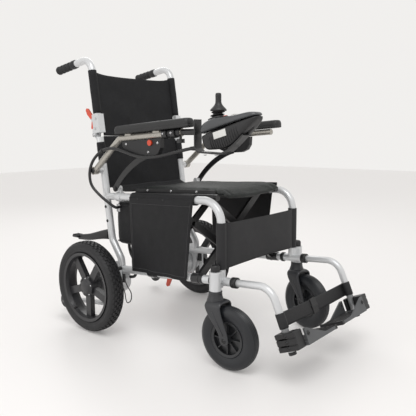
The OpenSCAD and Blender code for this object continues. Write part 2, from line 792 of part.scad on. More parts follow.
shell_side = [[97, 0.3], [94, 14], [84, 24], [62, 31], [36, 32], [4, 26], [-40, 19], [-80, 16],
    [-98, 11], [-104, 4], [-104, 0.3]];
key_ys = [0, -26];
rocker_z = 18.2;
rocker_pin_r = 1.2;
stick_pin_r = 2;
module controller_top() {
    color([0.36, 0.38, 0.4]) on_controller() difference() {
        intersection() {
            linear_extrude(60) controller_plan();
            translate([-ctrl_w, 0, 0]) upright() linear_extrude(2 * ctrl_w) polygon(shell_side);
        }
        translate([0, stick_y, -1]) cylinder(r = 21, h = 60);
        translate([-13, key_ys[0], 8]) cylinder(r = 6 + gap, h = 40);
        translate([13, key_ys[0], 8]) cylinder(r = 6 + gap, h = 40);
        translate([-15 - gap, key_ys[1] - 6 - gap, 6]) cube([30 + 2 * gap, 12 + 2 * gap, 40]);
        translate([0, key_ys[1] - 7.3, rocker_z]) rotate([-90, 0, 0])
            cylinder(r = rocker_pin_r + running, h = 14.6);
        translate([-24.3, stick_y, ball_z]) rotate([0, 90, 0])
            cylinder(r = stick_pin_r + running, h = 48.6);
    }
}

module power_button() {
    color(red) on_controller() translate([-13, key_ys[0], 9.5]) cylinder(r = 6, h = 18.5);
}

module horn_button() {
    color([0.75, 0.75, 0.72]) on_controller() translate([13, key_ys[0], 9.5])
        cylinder(r = 6, h = 18.5);
}

module speed_rocker() {
    color([0.75, 0.75, 0.72]) on_controller() {
        translate([-15, key_ys[1] - 6, 17]) cube([30, 12, 7]);
        translate([0, key_ys[1] - 7.2, rocker_z]) rotate([-90, 0, 0])
            cylinder(r = rocker_pin_r, h = 14.4);
    }
}

module joystick_gimbal() {
    color([0.2, 0.2, 0.2]) on_controller() translate([0, stick_y, ball_z]) difference() {
        union() {
            translate([0, 0, -4]) cylinder(r = 16, h = 8);
            translate([-24, 0, 0]) rotate([0, 90, 0]) cylinder(r = stick_pin_r, h = 48);
        }
        translate([0, 0, -5]) cylinder(r = 9, h = 10);
        translate([0, 13.3, 0]) rotate([90, 0, 0])
            cylinder(r = stick_pin_r + running, h = 26.6);
    }
}

knob_top = 91;
module joystick() {
    color([0.15, 0.16, 0.17]) on_controller() translate([0, stick_y, ball_z]) {
        sphere(r = 7);
        translate([0, 13, 0]) rotate([90, 0, 0]) cylinder(r = stick_pin_r, h = 26);
        rotate([ctrl_tilt, 0, 0]) rotate_extrude() polygon([[0, 0], [4, 0], [4, 41], [20, 42],
            [23, 46], [21, 50], [12, 58], [9, 63], [9.5, knob_top - 10], [9, knob_top - 2],
            [6, knob_top], [0, knob_top]]);
    }
}

bracket_w = 30;
module controller_bracket() {
    color(black) placed() translate([-arm_x, 0, 0]) {
        for (y = [-330, -364]) translate([0, y, arm_z(y)])
            rotate([90 - atan(arm_slope), 0, 0]) difference() {
                cylinder(r = 15, h = 19);
                translate([0, 0, -1]) cylinder(r = arm_r + running, h = 21);
                translate([-16, arm_r + 1, -1]) cube([32, 8, 21]);
            }
        translate([0, -398, arm_z(-398) - arm_r - 0.6]) rotate([180, 0, 0]) {
            cylinder(r = 4, h = 10);
            translate([0, 0, 8]) cylinder(r = 12, h = 12);
        }
        translate([0, -406, arm_z(-406)]) rotate([90, 0, 0]) cylinder(r = 9, h = 60);
        translate([-bracket_w / 2 + 4, 0, 0]) upright() linear_extrude(bracket_w) polygon([
            [-460, 722], [-460, 640], [-474, 627], [-556, 623], [-582, 632], [-608, 652],
            [-636, 676], [-633, 680], [-605, 656.5], [-580, 637.5], [-555, 628], [-476, 632],
            [-464, 642], [-464, 722]]);
    }
}

cable_route = [[-232, -459, 640], [-232, -450, 640], [-237, -430, 637], [-244, -400, 630], [-245, -350, 620],
    [-245, -300, 612], [-245, -250, 610], [-245, -200, 616], [-246, -150, 628],
    [-247, -100, 636], [-249, -50, 628], [-250, -10, 604], [-251, 14, 574], [-250, 24, 540],
    [-246, 18, 505], [-234, -10, 472], [-214, -40, 442], [-200, -50, 430], [-184.8, -50, 430]];
module controller_cable() {
    color(black) placed() cord(cable_route, 5, 3, 8);
}

// ---- The whole chair ----

side_frame(RIGHT);  // right_side_frame
side_frame(LEFT);  // left_side_frame
side_panel(RIGHT);  // right_side_panel
side_panel(LEFT);  // left_side_panel
arm_stay(RIGHT);  // right_arm_stay
arm_stay(LEFT);  // left_arm_stay
motor(RIGHT);  // right_motor
motor(LEFT);  // left_motor
clutch_lever(RIGHT);  // right_clutch_lever
clutch_lever(LEFT);  // left_clutch_lever
anti_tip_arm(RIGHT);  // right_anti_tip_arm
anti_tip_arm(LEFT);  // left_anti_tip_arm
anti_tip_wheel(RIGHT);  // right_anti_tip_wheel
anti_tip_wheel(LEFT);  // left_anti_tip_wheel
drive_rim(RIGHT);  // right_drive_rim
drive_rim(LEFT);  // left_drive_rim
drive_tyre(RIGHT);  // right_drive_tyre
drive_tyre(LEFT);  // left_drive_tyre
caster_fork(RIGHT);  // right_caster_fork
caster_fork(LEFT);  // left_caster_fork
caster_rim(RIGHT);  // right_caster_rim
caster_rim(LEFT);  // left_caster_rim
caster_tyre(RIGHT);  // right_caster_tyre
caster_tyre(LEFT);  // left_caster_tyre
footrest_tube(RIGHT);  // right_footrest_tube
footrest_tube(LEFT);  // left_footrest_tube
footplate(RIGHT);  // right_footplate
footplate(LEFT);  // left_footplate
back_cane(RIGHT);  // right_back_cane
back_cane(LEFT);  // left_back_cane
grip(RIGHT);  // right_grip
grip(LEFT);  // left_grip
back_lever(RIGHT);  // right_back_lever
back_lever(LEFT);  // left_back_lever
arm_tube(RIGHT);  // right_arm_tube
arm_tube(LEFT);  // left_arm_tube
arm_pad(RIGHT);  // right_arm_pad
arm_pad(LEFT);  // left_arm_pad
arm_guard(RIGHT);  // right_arm_guard
arm_guard(LEFT);  // left_arm_guard
arm_button(RIGHT);  // right_arm_button
arm_button(LEFT);  // left_arm_button
brace(RIGHT);  // right_brace
brace(LEFT);  // left_brace
battery();
battery_cables();
seat_upholstery();
back_upholstery_upper();
back_upholstery_lower();
calf_band();
calf_strap();
controller_bracket();
controller_base();
controller_top();
joystick();
joystick_gimbal();
power_button();
horn_button();
speed_rocker();
controller_cable();
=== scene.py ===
import math

import bmesh
import bpy
from mathutils import Matrix, Vector


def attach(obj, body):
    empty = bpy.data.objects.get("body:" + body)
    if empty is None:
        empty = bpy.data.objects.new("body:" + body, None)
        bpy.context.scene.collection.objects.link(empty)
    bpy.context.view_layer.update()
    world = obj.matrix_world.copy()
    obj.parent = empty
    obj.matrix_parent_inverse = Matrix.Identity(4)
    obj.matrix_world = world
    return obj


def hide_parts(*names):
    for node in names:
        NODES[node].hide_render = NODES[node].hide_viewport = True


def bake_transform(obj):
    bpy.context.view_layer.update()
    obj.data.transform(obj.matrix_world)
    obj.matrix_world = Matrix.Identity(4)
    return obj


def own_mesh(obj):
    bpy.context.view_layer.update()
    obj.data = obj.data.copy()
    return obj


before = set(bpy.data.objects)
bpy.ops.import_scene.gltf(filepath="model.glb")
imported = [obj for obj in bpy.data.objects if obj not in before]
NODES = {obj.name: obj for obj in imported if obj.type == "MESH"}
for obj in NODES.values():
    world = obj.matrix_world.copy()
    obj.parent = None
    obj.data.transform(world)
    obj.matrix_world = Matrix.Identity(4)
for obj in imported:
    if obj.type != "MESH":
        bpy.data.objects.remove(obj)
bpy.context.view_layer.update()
SIDES = {"right": -1, "left": 1}


# ---- Places: the CAD's own numbers, in metres ----

SHIFT = 0.27291


def at(x, y, z):
    """A point given in the CAD's construction millimetres (rear axle at y = 0), in the row frame."""
    return Vector((x / 1000, y / 1000 + SHIFT, z / 1000))


def low_z(y):
    return 213 + (252 - 213) / 492 * (-68 - y)


def top_z(y):
    return 466 + 21 / 514 * (-6 - y)


def arm_z(y):
    return 669 + 17.5 / 280 * (-125 - y)


FRAME_X = 195
ARM_X = 232
WHEEL_X, WHEEL_RADIUS = 285, 159
CASTER_X, CASTER_RADIUS = 225.7, 95
STEM_Y, TRAIL = -522, 50
UP = Vector((0, 0, 1))
ACROSS = Vector((1, 0, 0))
LEG_LEAN = math.atan((-695 + 768) / (low_z(-695) - 90))


def leg(x, y, z):
    """A point in the footrest leg's own frame: the tube's end is the origin and z runs up the leg."""
    c, s = math.cos(LEG_LEAN), math.sin(LEG_LEAN)
    return at(x, -768 + y * c + z * s, 90 - y * s + z * c)


CANE_LEAN = math.atan((66 - 30) / (947 - 684))


def cane(x, y, z):
    """A point in the upper cane's own frame: the cane's foot is the origin and z runs up the cane."""
    c, s = math.cos(CANE_LEAN), math.sin(CANE_LEAN)
    return at(x, 30 + y * c + z * s, 684 - y * s + z * c)


CONTROL_TILT = math.radians(14.5)


def control(x, y, z):
    """A point in the controller's own frame."""
    c, s = math.cos(CONTROL_TILT), math.sin(CONTROL_TILT)
    return at(-221 + x, -575 + y * c + z * s, 702 - y * s + z * c)


# ---- Camera, floor and light ----


LENS = 45.42
CAMERA_PLACE = (-1.361, -1.2031, 0.680)
CAMERA_TURN = (-49.21, 8.01, -0.50)  # yaw, pitch and roll, in degrees


def add_camera():
    data = bpy.data.cameras.new("camera")
    data.lens = LENS
    data.sensor_width = 36
    data.clip_end = 30
    camera = bpy.data.objects.new("camera", data)
    bpy.context.collection.objects.link(camera)
    yaw, pitch, roll = (math.radians(a) for a in CAMERA_TURN)
    back = Vector((math.sin(yaw) * math.cos(pitch), -math.cos(yaw) * math.cos(pitch), math.sin(pitch)))
    right = UP.cross(back).normalized()
    up = back.cross(right)
    right, up = (
        right * math.cos(roll) + up * math.sin(roll),
        up * math.cos(roll) - right * math.sin(roll),
    )
    turn = Matrix((right, up, back)).transposed().to_4x4()
    camera.matrix_world = Matrix.Translation(CAMERA_PLACE) @ turn
    bpy.context.scene.camera = camera


def add_light(name, place, size, power, colour=(1, 1, 1)):
    data = bpy.data.lights.new(name, "AREA")
    data.size = size
    data.energy = power
    data.color = colour
    lamp = bpy.data.objects.new(name, data)
    lamp.location = place
    lamp.rotation_euler = (Vector((0, 0, 0.4)) - Vector(place)).to_track_quat("-Z", "Y").to_euler()
    bpy.context.collection.objects.link(lamp)


def add_studio():
    world = bpy.data.worlds.new("studio")
    bpy.context.scene.world = world
    bpy.context.scene.view_settings.view_transform = "Standard"
    world.use_nodes = True
    world.node_tree.nodes["Background"].inputs["Color"].default_value = (1.0, 0.985, 0.965, 1)
    world.node_tree.nodes["Background"].inputs["Strength"].default_value = 0.88
    add_light("key", (-1.2, -1.2, 2.8), 1.6, 34)
    add_light("fill", (-2.6, 0.6, 1.2), 2.0, 9)
    add_light("rim", (1.4, 2.0, 2.2), 1.6, 14)
    bpy.ops.mesh.primitive_plane_add(size=16)
    floor = bpy.context.object
    floor.name = "floor"
    finish = bpy.data.materials.new("floor")
    finish.use_nodes = True
    shader = finish.node_tree.nodes["Principled BSDF"]
    shader.inputs["Base Color"].default_value = (0.68, 0.668, 0.662, 1)
    shader.inputs["Roughness"].default_value = 0.45
    shader.inputs["Emission Color"].default_value = (1.0, 0.98, 0.97, 1)
    shader.inputs["Emission Strength"].default_value = 0.14
    floor.data.materials.append(finish)


add_camera()
add_studio()


# ---- Materials ----


class Nodes:
    """A material's node tree, with the few wiring helpers that every finish here uses."""

    def __init__(self, name):
        self.material = bpy.data.materials.new(name)
        self.material.use_nodes = True
        self.tree = self.material.node_tree
        self.shader = self.tree.nodes["Principled BSDF"]
        self.place = self.new("ShaderNodeTexCoord").outputs["Object"]
        self.height = None

    def new(self, kind, **values):
        node = self.tree.nodes.new(kind)
        for key, value in values.items():
            setattr(node, key, value)
        return node

    def link(self, a, b):
        self.tree.links.new(a, b)

    def noise(self, scale, detail=3.0, stretch=(1, 1, 1)):
        node = self.new("ShaderNodeTexNoise")
        node.inputs["Scale"].default_value = scale
        node.inputs["Detail"].default_value = detail
        self.link(self.stretched(stretch), node.inputs["Vector"])
        return node.outputs["Fac"]

    def stretched(self, stretch, turn=(0, 0, 0)):
        if tuple(stretch) == (1, 1, 1) and tuple(turn) == (0, 0, 0):
            return self.place
        node = self.new("ShaderNodeMapping")
        node.inputs["Scale"].default_value = stretch
        node.inputs["Rotation"].default_value = turn
        self.link(self.place, node.inputs["Vector"])
        return node.outputs["Vector"]

    def wave(self, scale, axis, turn=(0, 0, 0), profile="SIN"):
        node = self.new("ShaderNodeTexWave", bands_direction=axis, wave_profile=profile)
        node.inputs["Scale"].default_value = scale
        self.link(self.stretched((1, 1, 1), turn), node.inputs["Vector"])
        return node.outputs["Fac"]

    def cells(self, scale):
        node = self.new("ShaderNodeTexVoronoi")
        node.inputs["Scale"].default_value = scale
        self.link(self.place, node.inputs["Vector"])
        return node.outputs["Distance"]

    def maths(self, what, a, b):
        node = self.new("ShaderNodeMath", operation=what)
        for socket, value in zip(node.inputs, (a, b)):
            if isinstance(value, (int, float)):
                socket.default_value = value
            else:
                self.link(value, socket)
        return node.outputs["Value"]

    def tint(self, fac, dark, light):
        """Base colour that runs from dark to light along fac."""
        ramp = self.new("ShaderNodeValToRGB")
        ramp.color_ramp.elements[0].color = (*dark, 1)
        ramp.color_ramp.elements[1].color = (*light, 1)
        ramp.color_ramp.elements[0].position = 0.3
        ramp.color_ramp.elements[1].position = 0.7
        self.link(fac, ramp.inputs["Fac"])
        self.link(ramp.outputs["Color"], self.shader.inputs["Base Color"])

    def rough(self, fac, low, high):
        span = self.new("ShaderNodeMapRange")
        span.inputs["To Min"].default_value = low
        span.inputs["To Max"].default_value = high
        self.link(fac, span.inputs["Value"])
        self.link(span.outputs["Result"], self.shader.inputs["Roughness"])

    def bump(self, fac, depth, strength=0.5):
        """Adds a bump of that depth in metres on top of those already there."""
        node = self.new("ShaderNodeBump")
        node.inputs["Strength"].default_value = strength
        node.inputs["Distance"].default_value = depth
        self.link(fac, node.inputs["Height"])
        if self.height is not None:
            self.link(self.height, node.inputs["Normal"])
        self.height = node.outputs["Normal"]
        self.link(self.height, self.shader.inputs["Normal"])

    def put(self, **values):
        for key, value in values.items():
            self.shader.inputs[key.replace("_", " ")].default_value = value


def scaled(colour, k):
    return tuple(min(1.0, c * k) for c in colour)


def painted(name, colour, rough=0.32, metal=0.0, coat=0.25, peel=0.00004):
    """Powder coat or paint: a faint orange peel, slight dust in the roughness."""
    m = Nodes(name)
    m.put(Metallic=metal, Coat_Weight=coat, Coat_Roughness=0.15)
    m.tint(m.noise(9, 4), scaled(colour, 0.93), scaled(colour, 1.05))
    m.rough(m.noise(26, 5), rough - 0.06, rough + 0.10)
    m.bump(m.noise(520, 2), peel, 0.35)
    return m.material


def moulded(name, colour, rough=0.5, grain=1400, depth=0.00005, coat=0.0):
    """Moulded plastic: fine spark-eroded grain and soft colour drift."""
    m = Nodes(name)
    m.put(Coat_Weight=coat)
    m.tint(m.noise(14, 3), scaled(colour, 0.88), scaled(colour, 1.12))
    m.rough(m.noise(40, 4), rough - 0.06, rough + 0.08)
    m.bump(m.cells(grain), depth, 0.4)
    m.bump(m.noise(60, 2), 0.00008, 0.15)
    return m.material


def rubber(name, colour, rough=0.6, dust=1.5):
    """Tyre or grip rubber: matt, with paler dust in broad patches."""
    m = Nodes(name)
    m.tint(m.noise(22, 6), colour, scaled(colour, dust))
    m.rough(m.noise(70, 4), rough - 0.08, rough + 0.1)
    m.bump(m.noise(900, 3), 0.00006, 0.5)
    m.put(Specular_IOR_Level=0.45)
    return m.material


def woven(name, colour, pitch=0.0011, axes="XZ", rough=0.75, sheen=0.25, wrinkle=0.0012, shine=1.35):
    """Plain-weave fabric: crossed yarns, colour drift and soft wrinkles, with a little painted shade where the
    weave dips.
    """
    m = Nodes(name)
    m.put(Sheen_Weight=sheen, Sheen_Roughness=0.5, Specular_IOR_Level=0.3)
    scale = 1 / pitch / 6.283 * 2
    weave_height_and_shade = m.maths("ADD", m.wave(scale, axes[0]), m.wave(scale, axes[1]))
    # colour drift from the noise, plus a little painted shade: darker where the weave wave is low, between the
    # crossed yarns
    m.tint(m.maths("ADD", m.noise(30, 5), m.maths("MULTIPLY", weave_height_and_shade, 0.08)), scaled(colour, 0.8),
           scaled(colour, shine))
    m.rough(m.noise(50, 3), rough - 0.08, rough + 0.08)
    m.bump(weave_height_and_shade, pitch * 0.12, 0.5)
    m.bump(m.noise(11, 3), wrinkle, 0.35)
    return m.material


def ribbed_webbing(name, colour, axis="Z", pitch=0.0022, rough=0.6):
    """Heavy webbing: ribbing along its length and a fine cross weave, with painted shade in the grooves of the
    ribbing.
    """
    m = Nodes(name)
    m.put(Sheen_Weight=0.05, Sheen_Roughness=0.4, Specular_IOR_Level=0.4)
    rib_height_and_shade = m.wave(1 / pitch / 3.1416, axis)
    # the colour follows the rib wave as well as the noise: painted shade in the grooves, darker between the rib
    # crests
    m.tint(m.maths("ADD", rib_height_and_shade, m.noise(60, 3)), scaled(colour, 0.75), scaled(colour, 1.5))
    m.rough(m.noise(60, 3), rough - 0.08, rough + 0.08)
    m.bump(rib_height_and_shade, 0.0003, 0.5)
    m.bump(m.wave(1 / pitch / 1.2, "X"), 0.0001, 0.4)
    return m.material


SILVER = painted("frame_silver", (0.60, 0.61, 0.62), 0.30, 0.35, 0.3)
CANE = painted("cane_silver", (0.60, 0.61, 0.62), 0.28, 0.35, 0.3)
CHAMPAGNE = painted("champagne_metal", (0.42, 0.40, 0.36), 0.28, 0.55, 0.3)
MOTOR = painted("motor_silver", (0.62, 0.63, 0.64), 0.35, 0.8, 0.0)
STEEL = painted("bolt_steel", (0.50, 0.50, 0.51), 0.25, 0.95, 0.0)
BLACK_PAINT = painted("black_metal", (0.008, 0.008, 0.009), 0.35, 0.0, 0.2)
BLACK_BOLT = painted("black_bolt", (0.010, 0.010, 0.011), 0.3, 0.3, 0.2)
BLACK_PLASTIC = moulded("black_plastic", (0.008, 0.008, 0.009), 0.42)
RIM = moulded("drive_rim", (0.016, 0.016, 0.018), 0.38, coat=0.15)
CASTER_RIM = moulded("caster_rim", (0.014, 0.015, 0.017), 0.36, coat=0.15)
FORK = moulded("fork_plastic", (0.022, 0.023, 0.026), 0.40, coat=0.1)
RED = moulded("red_plastic", (0.62, 0.055, 0.015), 0.3, coat=0.4)
SMALL_WHEEL = moulded("small_wheel", (0.009, 0.009, 0.010), 0.5)
PLATE_GREY = moulded("footplate_grey", (0.075, 0.078, 0.082), 0.5)
KEY_PALE = moulded("key_pale", (0.52, 0.52, 0.49), 0.4)
LABEL = moulded("blank_label", (0.62, 0.62, 0.60), 0.35)
SHELL_GREY = moulded("controller_grey", (0.050, 0.053, 0.057), 0.34, coat=0.15)
SHELL_BLACK = moulded("controller_black", (0.009, 0.009, 0.010), 0.45)
PAD = moulded("pad_foam", (0.012, 0.0122, 0.013), 0.5, grain=900, depth=0.0001)
TYRE = rubber("drive_tyre", (0.010, 0.010, 0.011), 0.58)
CASTER_TYRE = rubber("caster_tyre", (0.009, 0.0102, 0.0125), 0.36, 1.3)
GRIP = rubber("grip_rubber", (0.009, 0.009, 0.010), 0.5, 1.3)
BELLOWS = rubber("bellows_rubber", (0.008, 0.008, 0.009), 0.5, 1.2)
CABLE = rubber("cable_black", (0.012, 0.012, 0.013), 0.3, 1.2)
NYLON = woven("black_nylon", (0.0062, 0.0064, 0.0075), sheen=0.04)
PANEL = woven("panel_fabric", (0.0045, 0.0045, 0.0055), axes="YZ", rough=0.6, sheen=0.04)
SEAT = woven("seat_fabric", (0.0065, 0.0088, 0.0080), axes="XY", rough=0.55, sheen=0.04, wrinkle=0.0016)
BAG = woven("bag_nylon", (0.009, 0.009, 0.010), axes="YZ", rough=0.65, sheen=0.05)
WEBBING = ribbed_webbing("webbing", (0.0085, 0.0085, 0.0095))
THREAD = ribbed_webbing("thread", (0.030, 0.030, 0.032), pitch=0.0012)


# ---- Mesh helpers ----


def mesh_object(name, points, faces, material, body, smooth=True):
    """A mesh from points and faces, with its material, riding on a body."""
    mesh = bpy.data.meshes.new(name)
    mesh.from_pydata([tuple(p) for p in points], [], faces)
    mesh.validate()
    shape = bmesh.new()
    shape.from_mesh(mesh)
    bmesh.ops.recalc_face_normals(shape, faces=shape.faces)
    shape.to_mesh(mesh)
    shape.free()
    return finished(name, mesh, material, body, smooth)


def finished(name, mesh, material, body, smooth=True):
    for face in mesh.polygons:
        face.use_smooth = smooth
    obj = bpy.data.objects.new(name, mesh)
    bpy.context.collection.objects.link(obj)
    for one in material if isinstance(material, (list, tuple)) else [material]:
        mesh.materials.append(one)
    if body:
        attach(obj, body)
    return obj


def subdivided(obj, levels=2):
    modifier = obj.modifiers.new("smooth", "SUBSURF")
    modifier.levels = levels
    modifier.render_levels = levels
    return obj


def softened(obj, width=0.0008, segments=2, angle=35):
    """Rounds every hard edge a little, and shades smoothly across what is left."""
    modifier = obj.modifiers.new("edges", "BEVEL")
    modifier.width = width
    modifier.segments = segments
    modifier.limit_method = "ANGLE"
    modifier.angle_limit = math.radians(angle)
    modifier.harden_normals = True
    return obj


def loft(name, rings, material, body, closed_ends=True, smooth=True, wrap=False):
    """A skin over rings of points; each ring is closed. wrap joins the last ring to the first."""
    count = len(rings[0])
    points = [p for ring in rings for p in ring]
    faces = []
    spans = len(rings) if wrap else len(rings) - 1
    for i in range(spans):
        a, b = i * count, (i + 1) % len(rings) * count
        for k in range(count):
            n = (k + 1) % count
            faces.append((a + k, a + n, b + n, b + k))
    if closed_ends and not wrap:
        faces.append(tuple(range(count)))
        faces.append(tuple(range(len(points) - count, len(points))))
    return mesh_object(name, points, faces, material, body, smooth)


def corner_reach(c, s, power=4):
    """How far a superellipse reaches along the direction (c, s); a higher power is squarer."""
    return (abs(c) ** power + abs(s) ** power) ** (-1 / power)


def frame_of(direction):
    """Two unit vectors across a direction."""
    direction = direction.normalized()
    helper = UP if abs(direction.z) < 0.9 else ACROSS
    side = direction.cross(helper).normalized()
    return side, direction.cross(side).normalized()


def lathe(name, profile, centre, axis, material, body, steps=72, smooth=True):
    """Turns (radius, distance along the axis) pairs, in millimetres, round the axis. A profile that
    starts and ends at radius 0 closes itself, and any other one is closed back to its start."""
    side, up = frame_of(axis)
    axis = axis.normalized()
    points, faces = [], []
    for k in range(steps):
        a = math.tau * k / steps
        out = side * math.cos(a) + up * math.sin(a)
        points += [centre + out * (r / 1000) + axis * (h / 1000) for r, h in profile]
    n = len(profile)
    open_profile = profile[0][0] == 0 and profile[-1][0] == 0
    for k in range(steps):
        a, b = k * n, (k + 1) % steps * n
        for i in range(n - 1 if open_profile else n):
            j = (i + 1) % n
            faces.append((a + i, a + j, b + j, b + i))
    obj = mesh_object(name, points, faces, material, body, smooth)
    weld(obj, 0.00001)
    return obj


def weld(obj, distance):
    shape = bmesh.new()
    shape.from_mesh(obj.data)
    bmesh.ops.remove_doubles(shape, verts=shape.verts, dist=distance)
    bmesh.ops.recalc_face_normals(shape, faces=shape.faces)
    shape.to_mesh(obj.data)
    shape.free()


def eased(points, steps=6):
    """A smooth run through points, as a list of Vectors."""
    points = [Vector(p) for p in points]
    out = []
    for i in range(len(points) - 1):
        a, b, c, d = (points[max(i - 1, 0)], points[i], points[i + 1], points[min(i + 2, len(points) - 1)])
        for k in range(steps):
            t = k / steps
            out.append(
                0.5
                * (2 * b + (c - a) * t + (2 * a - 5 * b + 4 * c - d) * t * t + (3 * b - a - 3 * c + d) * t**3)
            )
    return out + [points[-1]]


def rounded_path(points, radius, steps=8):
    """A run of straights whose corners are arcs of that radius."""
    points = [Vector(p) for p in points]
    out = [points[0]]
    for a, b, c in zip(points, points[1:], points[2:]):
        u, v = (a - b).normalized(), (c - b).normalized()
        half = u.angle(v) / 2
        cut = radius / math.tan(half)
        middle = b + (u + v).normalized() * (radius / math.sin(half))
        start, end = b + u * cut - middle, b + v * cut - middle
        whole = start.angle(end)
        for k in range(steps + 1):
            t = k / steps
            out.append(
                middle + (start * math.sin((1 - t) * whole) + end * math.sin(t * whole)) / math.sin(whole)
            )
    return out + [points[-1]]


def sweep(name, path, radius, material, body, sides=20, radii=None, closed_ends=True):
    """A round tube along a path; radii, one per point, may vary."""
    rings = []
    side = None
    for i, p in enumerate(path):
        along = (path[min(i + 1, len(path) - 1)] - path[max(i - 1, 0)]).normalized()
        if side is None:
            side = frame_of(along)[0]
        side = (side - along * side.dot(along)).normalized()
        up = along.cross(side)
        r = radii[i] if radii else radius
        rings.append(
            [
                p + (side * math.cos(math.tau * k / sides) + up * math.sin(math.tau * k / sides)) * r
                for k in range(sides)
            ]
        )
    return loft(name, rings, material, body, closed_ends)


def block(name, low, high, material, body, place=at, width=0.0015):
    """A box with rounded edges between two corners given in a frame of millimetres."""
    corners = [
        place(x, y, z) for x in sorted((low[0], high[0])) for y in (low[1], high[1]) for z in (low[2],
            high[2])
    ]
    faces = [(0, 1, 3, 2), (4, 6, 7, 5), (0, 4, 5, 1), (2, 3, 7, 6), (0, 2, 6, 4), (1, 5, 7, 3)]
    return softened(mesh_object(name, corners, faces, material, body), width, 3)


def bolt(name, centre, axis, radius, material, body, height=3.0, socket=True):
    """A button-head screw: domed head with a socket, on a small washer."""
    r, h = radius, height
    profile = [(0, 0), (r * 1.25, 0), (r * 1.25, 0.5), (r, 0.55), (r * 0.97, h * 0.55), (r * 0.75, h * 0.9)]
    profile += [(r * 0.45, h), (r * 0.42, h * 0.4), (0, h * 0.4)] if socket else [(r * 0.4, h),
        (0, h * 1.02)]
    return lathe(name, profile, centre, axis, material, body, 20)


def dress(names, material):
    """Gives carried-over CAD nodes a material and slightly rounded edges."""
    for name in names.split():
        node = NODES[name]
        node.data.materials.clear()
        node.data.materials.append(material)
        softened(node, 0.0006, 2, 30)


def both(names):
    return " ".join(f"{side}_{name}" for name in names.split() for side in SIDES)


# ---- Carried-over CAD nodes ----

dress(both("side_frame"), SILVER)
dress(both("back_cane"), CANE)
dress(both("motor"), MOTOR)
dress(both("arm_stay brace") + " controller_bracket", BLACK_PAINT)
dress(both("clutch_lever back_lever arm_button") + " power_button", RED)
dress(both("anti_tip_wheel"), SMALL_WHEEL)
dress(both("drive_rim"), RIM)
dress(both("caster_rim"), CASTER_RIM)
dress(both("caster_fork"), FORK)
dress(both("arm_tube"), CHAMPAGNE)
dress(both("arm_guard"), BLACK_PLASTIC)
dress("horn_button speed_rocker", KEY_PALE)
dress("joystick_gimbal", SHELL_BLACK)
dress(both("side_panel"), PANEL)
dress(both("drive_tyre"), TYRE)
dress(both("caster_tyre"), CASTER_TYRE)
dress(both("footrest_tube anti_tip_arm"), SILVER)
dress(both("footplate"), PLATE_GREY)
dress(both("grip"), GRIP)
dress(both("arm_pad"), PAD)
dress("battery", BAG)
dress("controller_cable battery_cables", CABLE)
dress("controller_base joystick", SHELL_BLACK)
dress("controller_top", SHELL_GREY)
dress("seat_upholstery", SEAT)
dress("back_upholstery_upper back_upholstery_lower", NYLON)
dress("calf_band calf_strap", WEBBING)


# ---- Wheels ----


def crown(h):
    """Radius of the drive tyre's outside at a distance from its mid plane, in millimetres."""
    h = abs(h)
    if h < 10:
        return 158.6
    return 158.6 - 0.034 * (h - 10) ** 2


def tread_blocks(rows, count):
    """Corners and faces of the small tread blocks: each row is (from, to, turn) across the tyre."""
    points, faces = [], []
    for low, high, turn in rows:
        for k in range(count):
            middle = math.tau * (k + turn) / count
            half = math.tau / count * 0.34
            start = len(points)
            for lift, shrink in ((-4.0, 1.0), (0.0, 0.86)):
                for h, sign in ((low, 1), (high, 1), (high, -1), (low, -1)):
                    centre = (low + high) / 2
                    across = centre + (h - centre) * shrink
                    points.append((crown(across) + lift, across, middle + sign * half * shrink))
            faces += [
                tuple(start + i for i in f)
                for f in ((0, 1, 2, 3), (4, 7, 6, 5), (0, 4, 5, 1), (1, 5, 6, 2), (2, 6, 7, 3),
                          (3, 7, 4, 0))
            ]
    return points, faces


def drive_tyre(side):
    sign = SIDES[side]
    centre = at(sign * WHEEL_X, 0, WHEEL_RADIUS)
    half = [(122, 22), (126, 24), (130, 25.6), (132, 25.2), (134, 26.6), (139, 27.4), (144, 27.6)]
    half += [(145, 27.0), (146.5, 27.2), (150, 26), (152.5, 22), (154.6, 15), (155.2, 8), (155.4, 0)]
    profile = half + [(r, -h) for r, h in reversed(half[:-1])] + [(118, -16), (118, 16)]
    body = f"{side}_drive_wheel"
    tyre = lathe(f"{side}_tyre", profile, centre, ACROSS, TYRE, body, 120)
    blocks, faces = tread_blocks(
        [(-26, -18.5, 0.0), (-17, -9.5, 0.5), (-8.4, -0.8, 0.0), (0.8, 8.4, 0.5), (9.5, 17, 0.0),
         (18.5, 26, 0.5)], 50
    )
    points = [
        centre + Vector((h, r * math.cos(a), r * math.sin(a))) / 1000 for r, h, a in blocks
    ]
    tread = mesh_object(f"{side}_tread", points, faces, TYRE, body, False)
    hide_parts(f"{side}_drive_tyre")
    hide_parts(f"{side}_drive_tyre")
    # hub cap with a lip, rim bolts and the valve
    out = Vector((sign, 0, 0))
    cap = [(0, 27), (12, 26.6), (20, 25), (25, 21.5), (26.5, 18.6), (33, 18.3), (33, 17), (0, 17)]
    lathe(f"{side}_hub_cap", cap, centre, out, RIM, body, 48)
    for k in range(5):
        a = math.radians(-90 + 36 + 72 * k)
        spot = centre + Vector((0, math.cos(a), math.sin(a))) * 0.0295 + out * 0.0183
        bolt(f"{side}_hub_bolt_{k}", spot, out, 2.4, STEEL, body, 2.2)
    a = math.radians(-54)
    spot = centre + Vector((0, math.cos(a), math.sin(a))) * 0.108 + out * 0.010
    stem = [(0, 0), (3, 0), (3, 4), (2.4, 5), (2.4, 11), (3.1, 11.4), (3.1, 16), (0, 16.6)]
    lathe(f"{side}_valve", stem, spot, out, BLACK_BOLT, body, 16)


CASTER_TURN = {"right": math.radians(4), "left": math.radians(-12)}


